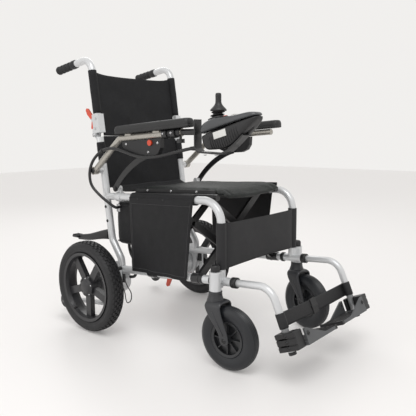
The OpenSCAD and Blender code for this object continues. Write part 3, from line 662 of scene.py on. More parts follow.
def caster(side):
    sign, turn = SIDES[side], CASTER_TURN[side]
    across = Vector((math.cos(turn), math.sin(turn), 0))
    centre = at(sign * CASTER_X + TRAIL * math.sin(turn), STEM_Y - TRAIL * math.cos(turn), CASTER_RADIUS)
    half = [(54.6, 16.5), (58, 17), (62, 18.6), (66, 19.4), (70, 20.3), (78, 20.6), (84, 18.6), (88, 16)]
    rib_height_and_shade = [(91.4, 13.4), (92.4, 12.2), (92.4, 10.4), (91.0, 9.7), (91.0, 8.7), (94.0, 8.0), (94.2, 4.6)]
    rib_height_and_shade += [(92.6, 3.8), (92.6, 2.6), (94.6, 1.8), (94.6, 0)]
    half += rib_height_and_shade
    profile = half + [(r, -h) for r, h in reversed(half[:-1])]
    body = f"{side}_caster_wheel"
    tyre = lathe(f"{side}_caster_tread", profile, centre, across, CASTER_TYRE, body, 96)
    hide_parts(f"{side}_caster_tyre")
    for s in (-1, 1):
        rib_ring = [(50.5, 15.2), (52.5, 17.4), (53.9, 17.4), (53.9, 14.6), (50.5, 14.6)]
        lathe(f"{side}_caster_lip_{'in' if s * sign < 0 else 'out'}", rib_ring, centre, across * s,
              CASTER_RIM, body, 64)
    fork = f"{side}_caster_swivel"
    for s in (-1, 1):
        name = "in" if s * sign < 0 else "out"
        bolt(f"{side}_axle_bolt_{name}", centre + across * (s * 0.0320), across * s, 6.4, BLACK_BOLT,
             fork, 3.4)
    cap = [(0, 19.5), (7, 19.2), (11, 17.6), (13.4, 14), (13.8, 2), (13.8, 0), (0, 0)]
    top = at(sign * CASTER_X, STEM_Y, 286.2)
    lathe(f"{side}_stem_cap", cap, top, UP, BLACK_PLASTIC, fork, 40)


for name in SIDES:
    drive_tyre(name)
    caster(name)


# ---- Push grips, clamp rings and fasteners ----


def push_grip(side):
    sign = SIDES[side]
    slope = math.atan2(919 - 947, 256 - 66)
    along = Vector((0, -math.cos(slope), -math.sin(slope)))
    end = at(sign * FRAME_X, 260, 919 + 4 * math.tan(slope))
    profile = [(0, 0), (12.5, 0.2), (14.6, 1.4), (15.4, 4)]
    h = 6
    while h < 86:
        swell = 14.1 + 0.8 * math.cos((h - 6) / 21 * 2 * math.pi)
        profile += [(swell + 0.4, h), (swell + 0.4, h + 1.6), (swell - 0.5, h + 2.1), (swell - 0.5,
            h + 3.3)]
        h += 4.0
    profile += [(14.8, 88), (15.4, 91), (15.5, 95), (15.5, 101), (14.9, 104), (14.9, 110), (14.2, 112),
                (13.0, 112)]
    profile += [(13.0, 6), (0, 6)]
    grip = lathe(f"{side}_ribbed_grip", profile, end, along, GRIP, f"{side}_back", 56)
    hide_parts(f"{side}_grip")


def ring(name, centre, axis, inner, outer, width, material, body, steps=48):
    c = min(1.2, width * 0.2)
    h = width / 2
    profile = [(inner, -h), (outer - c, -h), (outer, -h + c), (outer, h - c), (outer - c, h), (inner, h)]
    return lathe(name, profile, centre, axis, material, body, steps)


LOW_DIR = Vector((0, -1, 39 / 492)).normalized()
TOP_DIR = Vector((0, -1, 21 / 514)).normalized()


def small_parts(side):
    sign = SIDES[side]
    body = f"{side}_frame"
    out = Vector((sign, 0, 0))
    push_grip(side)
    ring(f"{side}_lower_clamp", at(sign * FRAME_X, -486, low_z(-486)), LOW_DIR, 13.2, 16.2, 11,
         BLACK_PLASTIC, body)
    for y in (-300, -180):
        bolt(f"{side}_panel_screw_{-y}", at(sign * 213.6, y, top_z(y) - 2), out, 3.2, BLACK_BOLT, body, 2.0)
    for k, (y, z) in enumerate(((52, 205), (-46, 205), (52, 113), (-46, 113), (-64, 226))):
        bolt(f"{side}_plate_bolt_{k}", at(sign * 198.2, y * 1.06, z), out, 5.0, STEEL, body, 4.0)
    bolt(f"{side}_arm_pin_head", at(sign * 243.1, 15, 558), out, 7.5, BLACK_BOLT, body, 4.2)
    bolt(f"{side}_stay_bolt", at(sign * 219.2, -70, top_z(-70) + 30), out, 6.0, BLACK_BOLT, body, 3.6)
    for z in (430, 380):
        bolt(f"{side}_post_bolt_{z}", at(sign * 207.4, -20 + (z - 314) * 50 / 362, z), out, 4.4,
             BLACK_BOLT, body, 3.0)
    guard = f"{side}_arm"
    for k, (y, z) in enumerate(((-158, 650), (-304, 655), (-262, 626))):
        bolt(f"{side}_guard_screw_{k}", at(sign * 237.1, y, z), out, 3.6, STEEL, guard, 2.4)
    back = f"{side}_back"
    for k, z in enumerate((20, 54)):
        bolt(f"{side}_block_screw_{k}", cane(sign * 208.3, 4 * (-1) ** k, z), out, 3.6, STEEL, back, 2.2)
    bolt(f"{side}_hinge_bolt", at(sign * 208.3, 48, 680), out, 5.0, STEEL, back, 3.0)
    for y in (-240, -436):
        ring(f"{side}_sleeve_lip_{-y}", at(sign * FRAME_X, y, low_z(y)), LOW_DIR, 15.2, 16.4, 6,
             BLACK_PAINT, f"{side}_brace")


for name in SIDES:
    small_parts(name)


def caster_fork(side):
    """One moulded piece: two arms that widen from the axle bosses up to an arch under the neck."""
    sign, turn = SIDES[side], CASTER_TURN[side]
    stem = at(sign * CASTER_X, STEM_Y, 0)
    body = f"{side}_caster_swivel"
    c, s = math.cos(turn), math.sin(turn)

    def place(x, y, z):
        return stem + Vector((x * c - y * s, x * s + y * c, z)) / 1000

    spine = [(-28.6, z) for z in (84, 90, 100, 115, 132, 150, 168, 180)]
    for k in range(1, 8):
        a = math.radians(180 - 90 * k / 8)
        spine.append((-14.6 + 14 * math.cos(a), 184 + 14 * math.sin(a)))
    spine.append((-7, 198))
    spine += [(0, 198)] + [(-x, z) for x, z in reversed(spine)]
    rings = []
    for i, (x, z) in enumerate(spine):
        a, b = spine[max(i - 1, 0)], spine[min(i + 1, len(spine) - 1)]
        length = math.hypot(b[0] - a[0], b[1] - a[1])
        nx, nz = (b[1] - a[1]) / length, -(b[0] - a[0]) / length
        t = max(0.0, min(1.0, (z - 95) / 95))
        ease = t * t * (3 - 2 * t)
        y0 = -50 + 41 * ease
        half = 14.5 + 12.5 * ease
        if z < 92:
            half *= 0.78 if z < 86 else 0.93
        thick = 3.9 + 1.6 * ease
        ring_points = []
        for n in range(20):
            w = math.tau * n / 20
            u, v = math.cos(w), math.sin(w)
            r = corner_reach(u, v, 3.4)
            ring_points.append(place(x + nx * u * r * thick, y0 + v * r * half, z + nz * u * r * thick))
        rings.append(ring_points)
    arms = loft(f"{side}_fork_arms", rings, FORK, body)
    subdivided(arms, 1)
    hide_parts(f"{side}_caster_fork")
    neck = [(0, 194), (25, 194), (26, 198), (24, 205), (21, 213), (20, 222), (20.6, 226.6),
            (19.6, 227.6), (0, 227.6)]
    lathe(f"{side}_fork_neck", neck, stem, UP, FORK, body, 48)
    across = Vector((c, s, 0))
    centre = place(0, -50, 95)
    for k in (-1, 1):
        boss = [(0, 31.5), (10.5, 31.5), (13.6, 32.0), (14.8, 33.6), (14.8, 35.0), (13.2, 36.4),
                (8.6, 36.6),
                (8.4, 34.6), (0, 34.6)]
        name = "in" if k * sign < 0 else "out"
        lathe(f"{side}_fork_boss_{name}", [(r, h - 5) for r, h in boss], centre, across * k, FORK, body, 40)
    # ribs down the outer face of each arm
    for k in (-1, 1):
        name = "in" if k * sign < 0 else "out"
        path = [place(k * 33.2, -48 + 37 * t, 110 + 66 * t) for t in (0, 0.25, 0.5, 0.75, 1)]
        sweep(f"{side}_fork_rib_{name}", eased(path, 4), 0.0016, FORK, body, 8)


for name in SIDES:
    caster_fork(name)


# ---- Soft goods ----


def grid_sheet(name, across, along, point, thick, material, body):
    """A thin closed sheet: point(u, v) gives its middle surface for u, v from 0 to 1, and thick is
    its thickness in metres. It is closed round its edge."""
    top, bottom = [], []
    e = 0.001
    for i in range(across + 1):
        for j in range(along + 1):
            u, v = i / across, j / along
            p = point(u, v)
            du = point(min(u + e, 1), v) - point(max(u - e, 0), v)
            dv = point(u, min(v + e, 1)) - point(u, max(v - e, 0))
            n = du.cross(dv).normalized()
            top.append(p + n * (thick / 2))
            bottom.append(p - n * (thick / 2))
    points = top + bottom
    m, w = len(top), along + 1
    faces = []
    for i in range(across):
        for j in range(along):
            a, b, c, d = i * w + j, (i + 1) * w + j, (i + 1) * w + j + 1, i * w + j + 1
            faces.append((a, b, c, d))
            faces.append((m + a, m + d, m + c, m + b))
    edge = [i * w for i in range(across + 1)] + [across * w + j for j in range(1, w)]
    edge += [i * w + along for i in range(across - 1, -1, -1)] + [j for j in range(along - 1, 0, -1)]
    for k in range(len(edge)):
        a, b = edge[k], edge[(k + 1) % len(edge)]
        faces.append((a, m + a, m + b, b))
    return mesh_object(name, points, faces, material, body)


def swell(obj, pressure, cap, frames=20, voxel=0.006):
    """Blows the shape up a little with a cloth simulation, moving no point further than cap."""
    remesh = obj.modifiers.new("even", "REMESH")
    remesh.mode = "VOXEL"
    remesh.voxel_size = voxel
    bpy.context.view_layer.objects.active = obj
    bpy.ops.object.modifier_apply(modifier="even")
    rest = [v.co.copy() for v in obj.data.vertices]
    cloth = obj.modifiers.new("cloth", "CLOTH")
    cloth.settings.use_pressure = True
    cloth.settings.uniform_pressure_force = pressure
    cloth.settings.effector_weights.gravity = 0
    cloth.point_cache.frame_start = 1
    cloth.point_cache.frame_end = frames
    scene = bpy.context.scene
    for f in range(1, frames + 1):
        scene.frame_set(f)
    bpy.ops.object.modifier_apply(modifier="cloth")
    scene.frame_set(1)
    for v, p in zip(obj.data.vertices, rest):
        move = v.co - p
        if move.length > cap:
            v.co = p + move.normalized() * cap
    for face in obj.data.polygons:
        face.use_smooth = True
    return obj


def piping(name, path, radius, material, body):
    """A sewn edge: a thin round cord along a closed path."""
    return sweep(name, path + path[:2], radius, material, body, 8)


SEAT_BACK, SEAT_FRONT = -108, -505


def seat_z(y):
    """Height of the seat's underside over the rails, in millimetres."""
    return 485 + 21 / 514 * (-345 - y) + 11.6


def seat():
    """A padded sling cushion that sags between the rails and droops at its front edge."""
    nx, ny, rings = 28, 32, []
    for j in range(ny + 1):
        v = j / ny
        y = SEAT_BACK - 3 + (SEAT_FRONT - SEAT_BACK + 6) * v
        pinch = 1 - 0.035 * (2 * v - 1) ** 6
        half = 165 * pinch
        edge = 1 - abs(2 * v - 1) ** 8
        droop = 9 * max(0, (v - 0.86) / 0.14) ** 2
        ring = []
        for k in range(2 * nx):
            top = k < nx
            t = (k + 0.5) / nx if top else (2 * nx - k - 0.5) / nx
            x = (2 * t - 1) * half
            side = 1 - abs(2 * t - 1) ** 8
            front = max(0.0, (v - 0.72) / 0.28)
            sag = 11 * (1 - (2 * t - 1) ** 2) * (edge + 1.6 * front * front)
            channel = 1.6 * math.exp(-(((abs(x) - 118) / 5) ** 2)) if top else 0
            loft_up = (7.5 if top else -6.0 - 7 * front) * side * (0.55 + 0.45 * edge)
            z = seat_z(y) + 7.5 - sag * 0.75 - droop + loft_up - channel
            ring.append(at(x, y, z))
        rings.append(ring)
    cushion = loft("seat_cushion", rings, SEAT, None)
    swell(cushion, 4.0, 0.006)
    for v in cushion.data.vertices:
        x, y, z = v.co * 1000
        v.co.z -= 0.0016 * math.exp(-(((abs(x) - 118) / 3.5) ** 2))
        v.co.z -= 0.0009 * math.exp(-((((y - SHIFT * 1000) + 455) / 3.5) ** 2))
    subdivided(cushion, 1)
    return cushion


seat_cushion = seat()
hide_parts("seat_upholstery")
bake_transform(seat_cushion)


def seat_strips():
    """The strips screwed along the rails that clamp the seat's fabric."""

    def on_rail(x, y, z):
        return at(x, y, seat_z(y) - 11.6 + z)

    for side, sign, body in (("right", -1, "left_brace"), ("left", 1, "right_brace")):
        block(f"{side}_seat_strip", (sign * 164, -474, 10.5), (sign * 168.5, -118, 23), BLACK_PLASTIC,
              body, on_rail, 0.0012)
        for k, y in enumerate((-180, -290, -400)):
            out = Vector((sign, 0, 0))
            bolt(f"{side}_strip_screw_{k}", on_rail(sign * 168.4, y, 17), out, 3.6, STEEL, body, 2.4)


seat_strips()


def seat_flap():
    """The loose fabric that joins the seat's rear edge to the foot of the back."""

    def point(u, v):
        x = (u - 0.5) * (334 + 22 * v * v)
        bow = 1 - (2 * u - 1) ** 2
        dip = 9 * math.sin(math.pi * v) + 1.5 * math.sin(13 * u + 4 * v) * bow
        return at(x, -116 + 118 * v, seat_z(-116) + 5 - 9 * (1 - v) * bow + 6 * v * v - dip)

    flap = grid_sheet("seat_flap", 48, 16, point, 0.0020, NYLON, "right_frame")
    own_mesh(flap)
    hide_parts("seat_upholstery")


seat_flap()


def sling(name, top, bottom, place, sag_top, depth, body, waist=None):
    """An upholstery sheet stretched between the two side tubes, its top hem sagging between them.
    waist gives the height below or above which it narrows to pass between the hinge blocks."""
    full = 2 * FRAME_X - 8

    def point(u, v):
        bow = 1 - (2 * u - 1) ** 2
        flat = 1 - (2 * u - 1) ** 6
        z = bottom + (top - bottom) * v - sag_top * flat * v
        width = full
        if waist:
            t = min(1.0, max(0.0, (z - waist[0]) / (waist[1] - waist[0])))
            width = 2 * (FRAME_X - 17) + 26 * t * t * (3 - 2 * t)
        x = (u - 0.5) * width
        wrinkle = 1.1 * math.sin(9 * u + 5 * v) * bow + 0.6 * math.sin(23 * u - 7 * v) * bow
        slack = 2.0 * math.sin(6 * u) * math.sin(11 * v + 2 * u) * bow
        return place(x, depth * bow + wrinkle + slack, z)

    return grid_sheet(name, 60, 44, point, 0.0024, NYLON, body)


def sleeve(name, x, z0, z1, place, radius, body, material):
    """A fabric sleeve round a tube, closed by a seam, with slightly uneven ends."""
    profile = []
    for z in [z0 + (z1 - z0) * k / 12 for k in range(13)]:
        puff = 0.5 * math.sin(math.pi * (z - z0) / (z1 - z0)) + 0.25 * math.sin(z * 0.4)
        profile.append((radius + 1.9 + puff - 0.3, z))
    profile += [(radius, z1), (radius, z0)]
    base, tip = place(x, 0, 0), place(x, 0, 1)
    return lathe(name, profile, base, (tip - base).normalized(), material, body, 40)


def seam(name, points, material, body, radius=0.0007):
    return sweep(name, eased(points, 8), radius, material, body, 6)


POST_LEAN = math.atan((30 + 20) / (676 - 314))


def post(x, y, z):
    """A point in the rear post's own frame, from its lower bend up."""
    c, s = math.cos(POST_LEAN), math.sin(POST_LEAN)
    return at(x, -20 + y * c + z * s, 314 - y * s + z * c)


def back_upholstery():
    upper = sling("back_upper", 221, -6, cane, 12, 9.0, "right_back", (64, 80))
    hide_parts("back_upholstery_upper")
    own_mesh(upper)
    lower = sling("back_lower", 366, 182, post, 0, 3.0, "right_frame", (352, 340))
    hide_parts("back_upholstery_lower")
    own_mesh(lower)
    for side, sign in SIDES.items():
        sleeve(f"{side}_back_sleeve", sign * FRAME_X, 72, 222, cane, 12.9, f"{side}_back", NYLON)
        sleeve(f"{side}_post_sleeve", sign * FRAME_X, 270, 344, post, 12.9, f"{side}_frame", NYLON)


back_upholstery()


def calf_band():
    """The black band behind the calves: hemmed webbing with a sleeve round each front tube."""

    def point(u, v):
        x = (u - 0.5) * (2 * FRAME_X - 6)
        bow = 1 - (2 * u - 1) ** 2
        rim = 1 - (1 - bow) ** 8
        z = 287 + 136 * v - (3.5 * v - 2.5 * (1 - v)) * bow
        return at(x, -520 - 13.8 * rim + 6 * bow + 0.6 * math.sin(14 * u + 3 * v) * bow, z)

    band = grid_sheet("calf_sheet", 48, 20, point, 0.0022, WEBBING, "right_frame")
    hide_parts("calf_band")
    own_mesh(band)
    for side, sign in SIDES.items():
        rings = [(14.6, 286), (15.0, 290), (15.0, 420), (14.6, 424), (12.8, 424), (12.8, 286)]
        lathe(f"{side}_calf_sleeve", rings, at(sign * FRAME_X, -520, 0), UP, WEBBING, f"{side}_frame", 40)


calf_band()


def calf_strap():
    def point(u, v):
        x = (u - 0.5) * (2 * FRAME_X - 4)
        bow = 1 - (2 * u - 1) ** 2
        return leg(x, 12.4 + 3.0 * bow, 73 + 40 * v - 3 * bow)

    strap = grid_sheet("leg_strap", 40, 8, point, 0.0020, WEBBING, "right_frame")
    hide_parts("calf_strap")
    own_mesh(strap)
    for side, sign in SIDES.items():
        rings = [(12.9, 72), (13.3, 74), (13.3, 112), (12.9, 114), (11.3, 114), (11.3, 72)]
        base, tip = leg(sign * FRAME_X, 0, 0), leg(sign * FRAME_X, 0, 1)
        lathe(f"{side}_strap_sleeve", rings, base, (tip - base).normalized(), WEBBING, f"{side}_frame", 40)
    buckle = block("strap_buckle", (-15, 11.5, 66), (15, 18.5, 112), BLACK_PLASTIC, None, leg, 0.0016)
    bar = block("strap_slider", (-17, 10.5, 84), (17, 19.5, 93), BLACK_PLASTIC, None, leg, 0.0016)
    for piece in (buckle, bar):
        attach(piece, "right_frame")
        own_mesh(piece)


calf_strap()


PANEL_REAR, PANEL_FRONT = -138, -426


def side_panel(side):
    """A hemmed fabric skirt that hangs from a sleeve round the top tube."""
    sign = SIDES[side]
    body = f"{side}_frame"

    def point(u, v):
        y_top = PANEL_REAR + (PANEL_FRONT - PANEL_REAR) * u
        y_low = -144 + (-394 + 144) * u
        y = y_top + (y_low - y_top) * v
        z_top = top_z(y_top) + 3
        z_low = 222 + 9 * u + 2.2 * math.sin(9 * u) * math.sin(5 * u)
        z = z_top + (z_low - z_top) * v
        pillow = 3.0 * math.sin(math.pi * min(1, v * 1.05)) * math.sin(math.pi * u)
        crease = 0.9 * math.sin(31 * u + 9 * v) * v * v + 0.7 * math.sin(17 * u - 6 * v) * v
        return at(sign * (212.4 + max(-0.6, 0.35 * pillow + crease)), y, z)

    panel = grid_sheet(f"{side}_panel_sheet", 44, 40, point, 0.0020, PANEL, body)
    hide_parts(f"{side}_side_panel")
    rings = [(12.9, -138), (16.2, -138), (16.9, -150), (16.6, -280), (16.9, -414), (16.2, -426),
             (12.9, -426)]
    base = at(sign * FRAME_X, 0, top_z(0))
    cos_pitch = math.cos(math.atan(21 / 514))
    profile = [(r, -y / cos_pitch) for r, y in rings]
    tube = lathe(f"{side}_panel_sleeve", profile, base, TOP_DIR, PANEL, body, 44)
    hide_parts(f"{side}_side_panel")
    inset = 0.03
    for name, v0 in (("hem_top", 0.085), ("hem_low", 0.955)):
        line = [point(inset + (1 - 2 * inset) * k / 14, v0) + Vector((sign * 0.0013, 0,
            0)) for k in range(15)]
        seam(f"{side}_{name}", line, THREAD, body)
    for name, u0 in (("hem_rear", 0.035), ("hem_front", 0.965)):
        line = [point(u0, 0.06 + 0.9 * k / 12) + Vector((sign * 0.0013, 0, 0)) for k in range(13)]
        seam(f"{side}_{name}", line, THREAD, body)


for name in SIDES:
    side_panel(name)


def battery_bag():
    """A soft bag with a zip and piping, hung by two hooks behind the right side panel."""
    rings = []
    low, high = (-180, -136, 298), (-124, -18, 448)
    cx, cy = (low[0] + high[0]) / 2, (low[1] + high[1]) / 2
    hx, hy = 26.5, 57.5
    for k in range(13):
        v = k / 12
        z = low[2] + 1 + (high[2] - low[2] - 2) * v
        inset = 1 - 0.10 * abs(2 * v - 1) ** 6
        bulge = 1 + 0.02 * math.sin(math.pi * v)
        ring = []
        for n in range(40):
            a = math.tau * n / 40
            c, s = math.cos(a), math.sin(a)
            r = corner_reach(c, s)
            ring.append(at(cx + hx * r * c * inset * bulge, cy + hy * r * s * inset * bulge, z))
        rings.append(ring)
    bag = loft("battery_bag", rings, BAG, None)
    swell(bag, 2.0, 0.003)
    subdivided(bag, 1)
    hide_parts("battery")
    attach(bag, "right_frame")
    for name, z in (("low", 306), ("high", 436)):
        path = []
        for n in range(48):
            a = math.tau * n / 48
            c, s = math.cos(a), math.sin(a)
            r = corner_reach(c, s)
            path.append(at(cx + (hx + 0.4) * r * c, cy + (hy + 0.4) * r * s, z))
        piping(f"bag_piping_{name}", path, 0.0016, BLACK_PLASTIC, "right_frame")
    for k, y in enumerate((-112, -42)):
        hook = [at(-176, y, 436), at(-176, y, 452), at(-176, y, 460)]
        sweep(f"bag_hook_{k}", hook, 0.0030, STEEL, "right_frame", 12)
        block(f"bag_hook_plate_{k}", (-183, y - 9, 412), (-178, y + 9, 440), STEEL, "right_frame")


battery_bag()


def arm_pad(side):
    """A moulded pad, crowned on top and rounded at both ends, with a parting line round its base."""
    sign = SIDES[side]
    slope = math.atan(17.5 / 280)
    base = at(sign * ARM_X, -112, arm_z(-112) + 12.1)
    forward = Vector((0, -math.cos(slope), math.sin(slope)))
    up = Vector((0, math.sin(slope), math.cos(slope)))
    out = ACROSS
    rings = []
    count = 44
    for h, inset in ((0, 2.2), (1.2, 0.6), (5, 0.2), (7.6, 0.0), (8.2, 0.7), (9.0, 0.7), (9.6, 0.0),
                     (17, 0.3),
                     (22, 1.8), (25, 4.6), (26.5, 8.5), (27, 13)):
        ring = []
        for n in range(count):
            a = math.tau * n / count
            c, s = math.cos(a), math.sin(a)
            r = corner_reach(c, s, 3.2)
            px, py = c * r * 20.6, s * r * 20.6
            py += (165 - 20.6) * (1 if s >= 0 else -1)
            k = inset / 20.6
            py_in = py - (1 if s >= 0 else -1) * abs(s) * r * inset
            dip = 1.2 * math.cos(math.pi * (py / 165)) * (h > 20)
            x_in = px * (1 - k)
            ring.append(base + out * (x_in / 1000) + forward * ((165 + py_in) / 1000) + up * ((h - dip) / 1000))
        rings.append(ring)
    pad = loft(f"{side}_pad", rings, PAD, f"{side}_arm")
    subdivided(pad, 1)
    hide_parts(f"{side}_arm_pad")


for name in SIDES:
    arm_pad(name)


# ---- Footrests and anti-tip arms, each a silver tube with black fittings ----


def footrest(side):
    sign = SIDES[side]
    body = f"{side}_frame"
    path = rounded_path(
        [at(sign * FRAME_X, -430, low_z(-430)), at(sign * FRAME_X, -695, low_z(-695)),
         at(sign * FRAME_X, -768, 90)], 0.055, 12
    )
    tube = sweep(f"{side}_leg_tube", path, 0.0109, SILVER, body, 32)
    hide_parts(f"{side}_footrest_tube")
    ring(f"{side}_leg_collar", at(sign * FRAME_X, -571, low_z(-571)), LOW_DIR, 11.4, 16.0, 19,
         BLACK_PLASTIC, body)
    bolt(f"{side}_collar_screw", at(sign * 211.2, -571, low_z(-571)), Vector((sign, 0, 0)), 4.2,
         BLACK_BOLT, body, 3.0)
    end = [(0, -1), (10.6, -1), (11.2, 0), (11.2, 7), (10.9, 8), (0, 8)]
    lathe(f"{side}_leg_cap", end, leg(sign * FRAME_X, 0, 0), leg(0, 0, 1) - leg(0, 0, 0), BLACK_PLASTIC,
          body, 32)
    # slotted clamp block beside the tube, in three ribs with slots between them
    for k, (z0, z1) in enumerate(((13.5, 27), (30, 46), (49, 62.5))):
        block(f"{side}_leg_rib_{k}", (sign * 206.5, -42, z0), (sign * 221.5, 22, z1), BLACK_PLASTIC,
              body, leg, 0.002)
    for k, (y0, y1) in enumerate(((-42.5, -12.3), (12.3, 22.5))):
        block(f"{side}_leg_block_{k}", (sign * 181.5, y0, 13.2), (sign * 219, y1, 62.8), BLACK_PLASTIC,
              body, leg, 0.003)
    for z in (21, 38, 55):
        bolt(f"{side}_leg_bolt_{z}", leg(sign * 221.6, -12, z), Vector((sign, 0, 0)), 3.6, BLACK_BOLT,
             body, 2.4)


def footplate(side):
    """The moulded tray with its webs, and black rubber strips let into its top."""
    sign = SIDES[side]
    body = f"{side}_footplate"
    for k, (y0, y1) in enumerate(((-44, -34), (-30, -20), (-16, -6), (-2, 8), (12, 22))):
        block(f"{side}_plate_strip_{k}", (sign * 22, y0, 22.6), (sign * 160, y1, 24.4), GRIP, body, leg,
              0.0006)
    block(f"{side}_plate_tip", (sign * 17.2, -50.6, 12.8), (sign * 29, 30.6, 24.6), BLACK_PLASTIC, body,
          leg, 0.002)
    for k, y in enumerate((-51.2, 30.2)):
        bolt(f"{side}_plate_screw_{k}", leg(sign * 167, y, 44), (leg(0, 1, 0) - leg(0, 0,
            0)) * (1 if k else -1), 5.2, BLACK_BOLT, body, 2.6)


def anti_tip(side):
    sign = SIDES[side]
    body = f"{side}_frame"
    x = sign * 214
    path = rounded_path([at(x, -76, 214), at(x, -78, 96), at(x, -20, 80), at(x, 222, 50)], 0.030, 10)
    tube = sweep(f"{side}_anti_tip_tube", path, 0.009, SILVER, body, 28)
    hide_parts(f"{side}_anti_tip_arm")
    cap = [(0, 0), (8.4, 0.2), (9.3, 1.2), (9.3, 8), (8.9, 9), (0, 9)]
    lathe(f"{side}_anti_tip_cap", cap, at(x, -76, 214.6), Vector((0, 0.02, -1)) * -1, BLACK_PLASTIC,
          body, 28)
    block(f"{side}_anti_tip_bracket", (sign * 198.4, -90, 168), (sign * 205.4, -66, 198), BLACK_PAINT, body)
    bolt(f"{side}_anti_tip_axle", at(sign * 246.8, 222, 50), Vector((sign, 0, 0)), 6.0, STEEL, body, 3.4)
    # tipping pedal: a curved black lever with a ribbed tread at its end
    spine = eased([at(sign * FRAME_X, -2, 330), at(sign * FRAME_X, 40, 322), at(sign * FRAME_X, 110,
        306), at(sign * FRAME_X, 176, 298)], 8)
    rings = []
    for i, p in enumerate(spine):
        t = i / (len(spine) - 1)
        half, tall = 0.0075 - 0.001 * t, 0.019 - 0.010 * t
        ring_points = []
        for n in range(16):
            a = math.tau * n / 16
            c, s = math.cos(a), math.sin(a)
            r = corner_reach(c, s)
            ring_points.append(p + Vector((c * r * half, 0, s * r * tall)))
        rings.append(ring_points)
    lever = loft(f"{side}_tipping_lever", rings, BLACK_PLASTIC, body)
    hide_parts(f"{side}_anti_tip_arm")
    block(f"{side}_tipping_tread", (sign * FRAME_X - 15.5, 168, 297), (sign * FRAME_X + 15.5, 201.5,
        306), BLACK_PLASTIC, body, at, 0.003)
    for k in range(5):
        y = 173 + 6.2 * k
        block(f"{side}_tread_rib_{k}", (sign * FRAME_X - 13.5, y, 305.5), (sign * FRAME_X + 13.5, y + 3,
            308), GRIP, body, at, 0.0008)


for name in SIDES:
    footrest(name)
    footplate(name)
    anti_tip(name)


# ---- Controller ----

PLAN_HALF = 33


def plan_point(angle, inset):
    """The controller's outline seen from above: a rounded rectangle whose front end is narrower."""
    c, s = math.cos(angle), math.sin(angle)
    r = corner_reach(c, s)
    x, y = c * r, s * r
    middle, half = -3.5, 100
    taper = 1 - 0.20 * max(0, -y) ** 2.5
    return (x * (PLAN_HALF - inset) * taper, middle + y * (half - inset))


def side_x(y, inset):
    """Half width of the outline at a place along the controller."""
    along = min(0.98, abs(y + 3.5) / (100 - inset))
    taper = 1 - 0.20 * max(0, -y / 100) ** 2.5
    return (PLAN_HALF - inset) * taper * (1 - along**4) ** 0.25


def profile_z(y, table):
    for (y0, z0), (y1, z1) in zip(table, table[1:]):
        if min(y0, y1) <= y <= max(y0, y1):
            return z0 + (z1 - z0) * (y - y0) / (y1 - y0)
    return table[-1][1] if abs(y - table[-1][0]) < abs(y - table[0][0]) else table[0][1]


def shell(name, edge, crown_line, body, material):
    """A shell half: rings climb from the parting line and close over a crowned face."""
    rings = []
    steps = ((0.0, 0.0, 0.3), (0.6, 0.25, 0.0), (0.85, 0.55, 0.0), (2.0, 0.80, 0.0), (5, 0.94, 0.0),
             (10, 0.99, 0.0),
             (16, 1.0, 0.0), (22, 1.0, 0.0), (28, 1.0, 0.0))
    for inset, share, skirt in steps:
        ring_points = []
        for n in range(56):
            a = math.tau * n / 56
            x, y = plan_point(a, inset + skirt)
            z = edge + (profile_z(y, crown_line) - edge) * share
            ring_points.append(control(x, y, z))
        rings.append(ring_points)
    return loft(name, rings, material, body)


TOP_LINE = [(97, 12), (94, 17), (84, 25), (62, 31), (36, 32), (4, 26), (-40, 19), (-80, 16), (-98, 11),
            (-104, 6)]
LOW_LINE = [(97, -22), (96, -34), (84, -47), (18, -58), (-8, -54), (-70, -26), (-104, -8)]


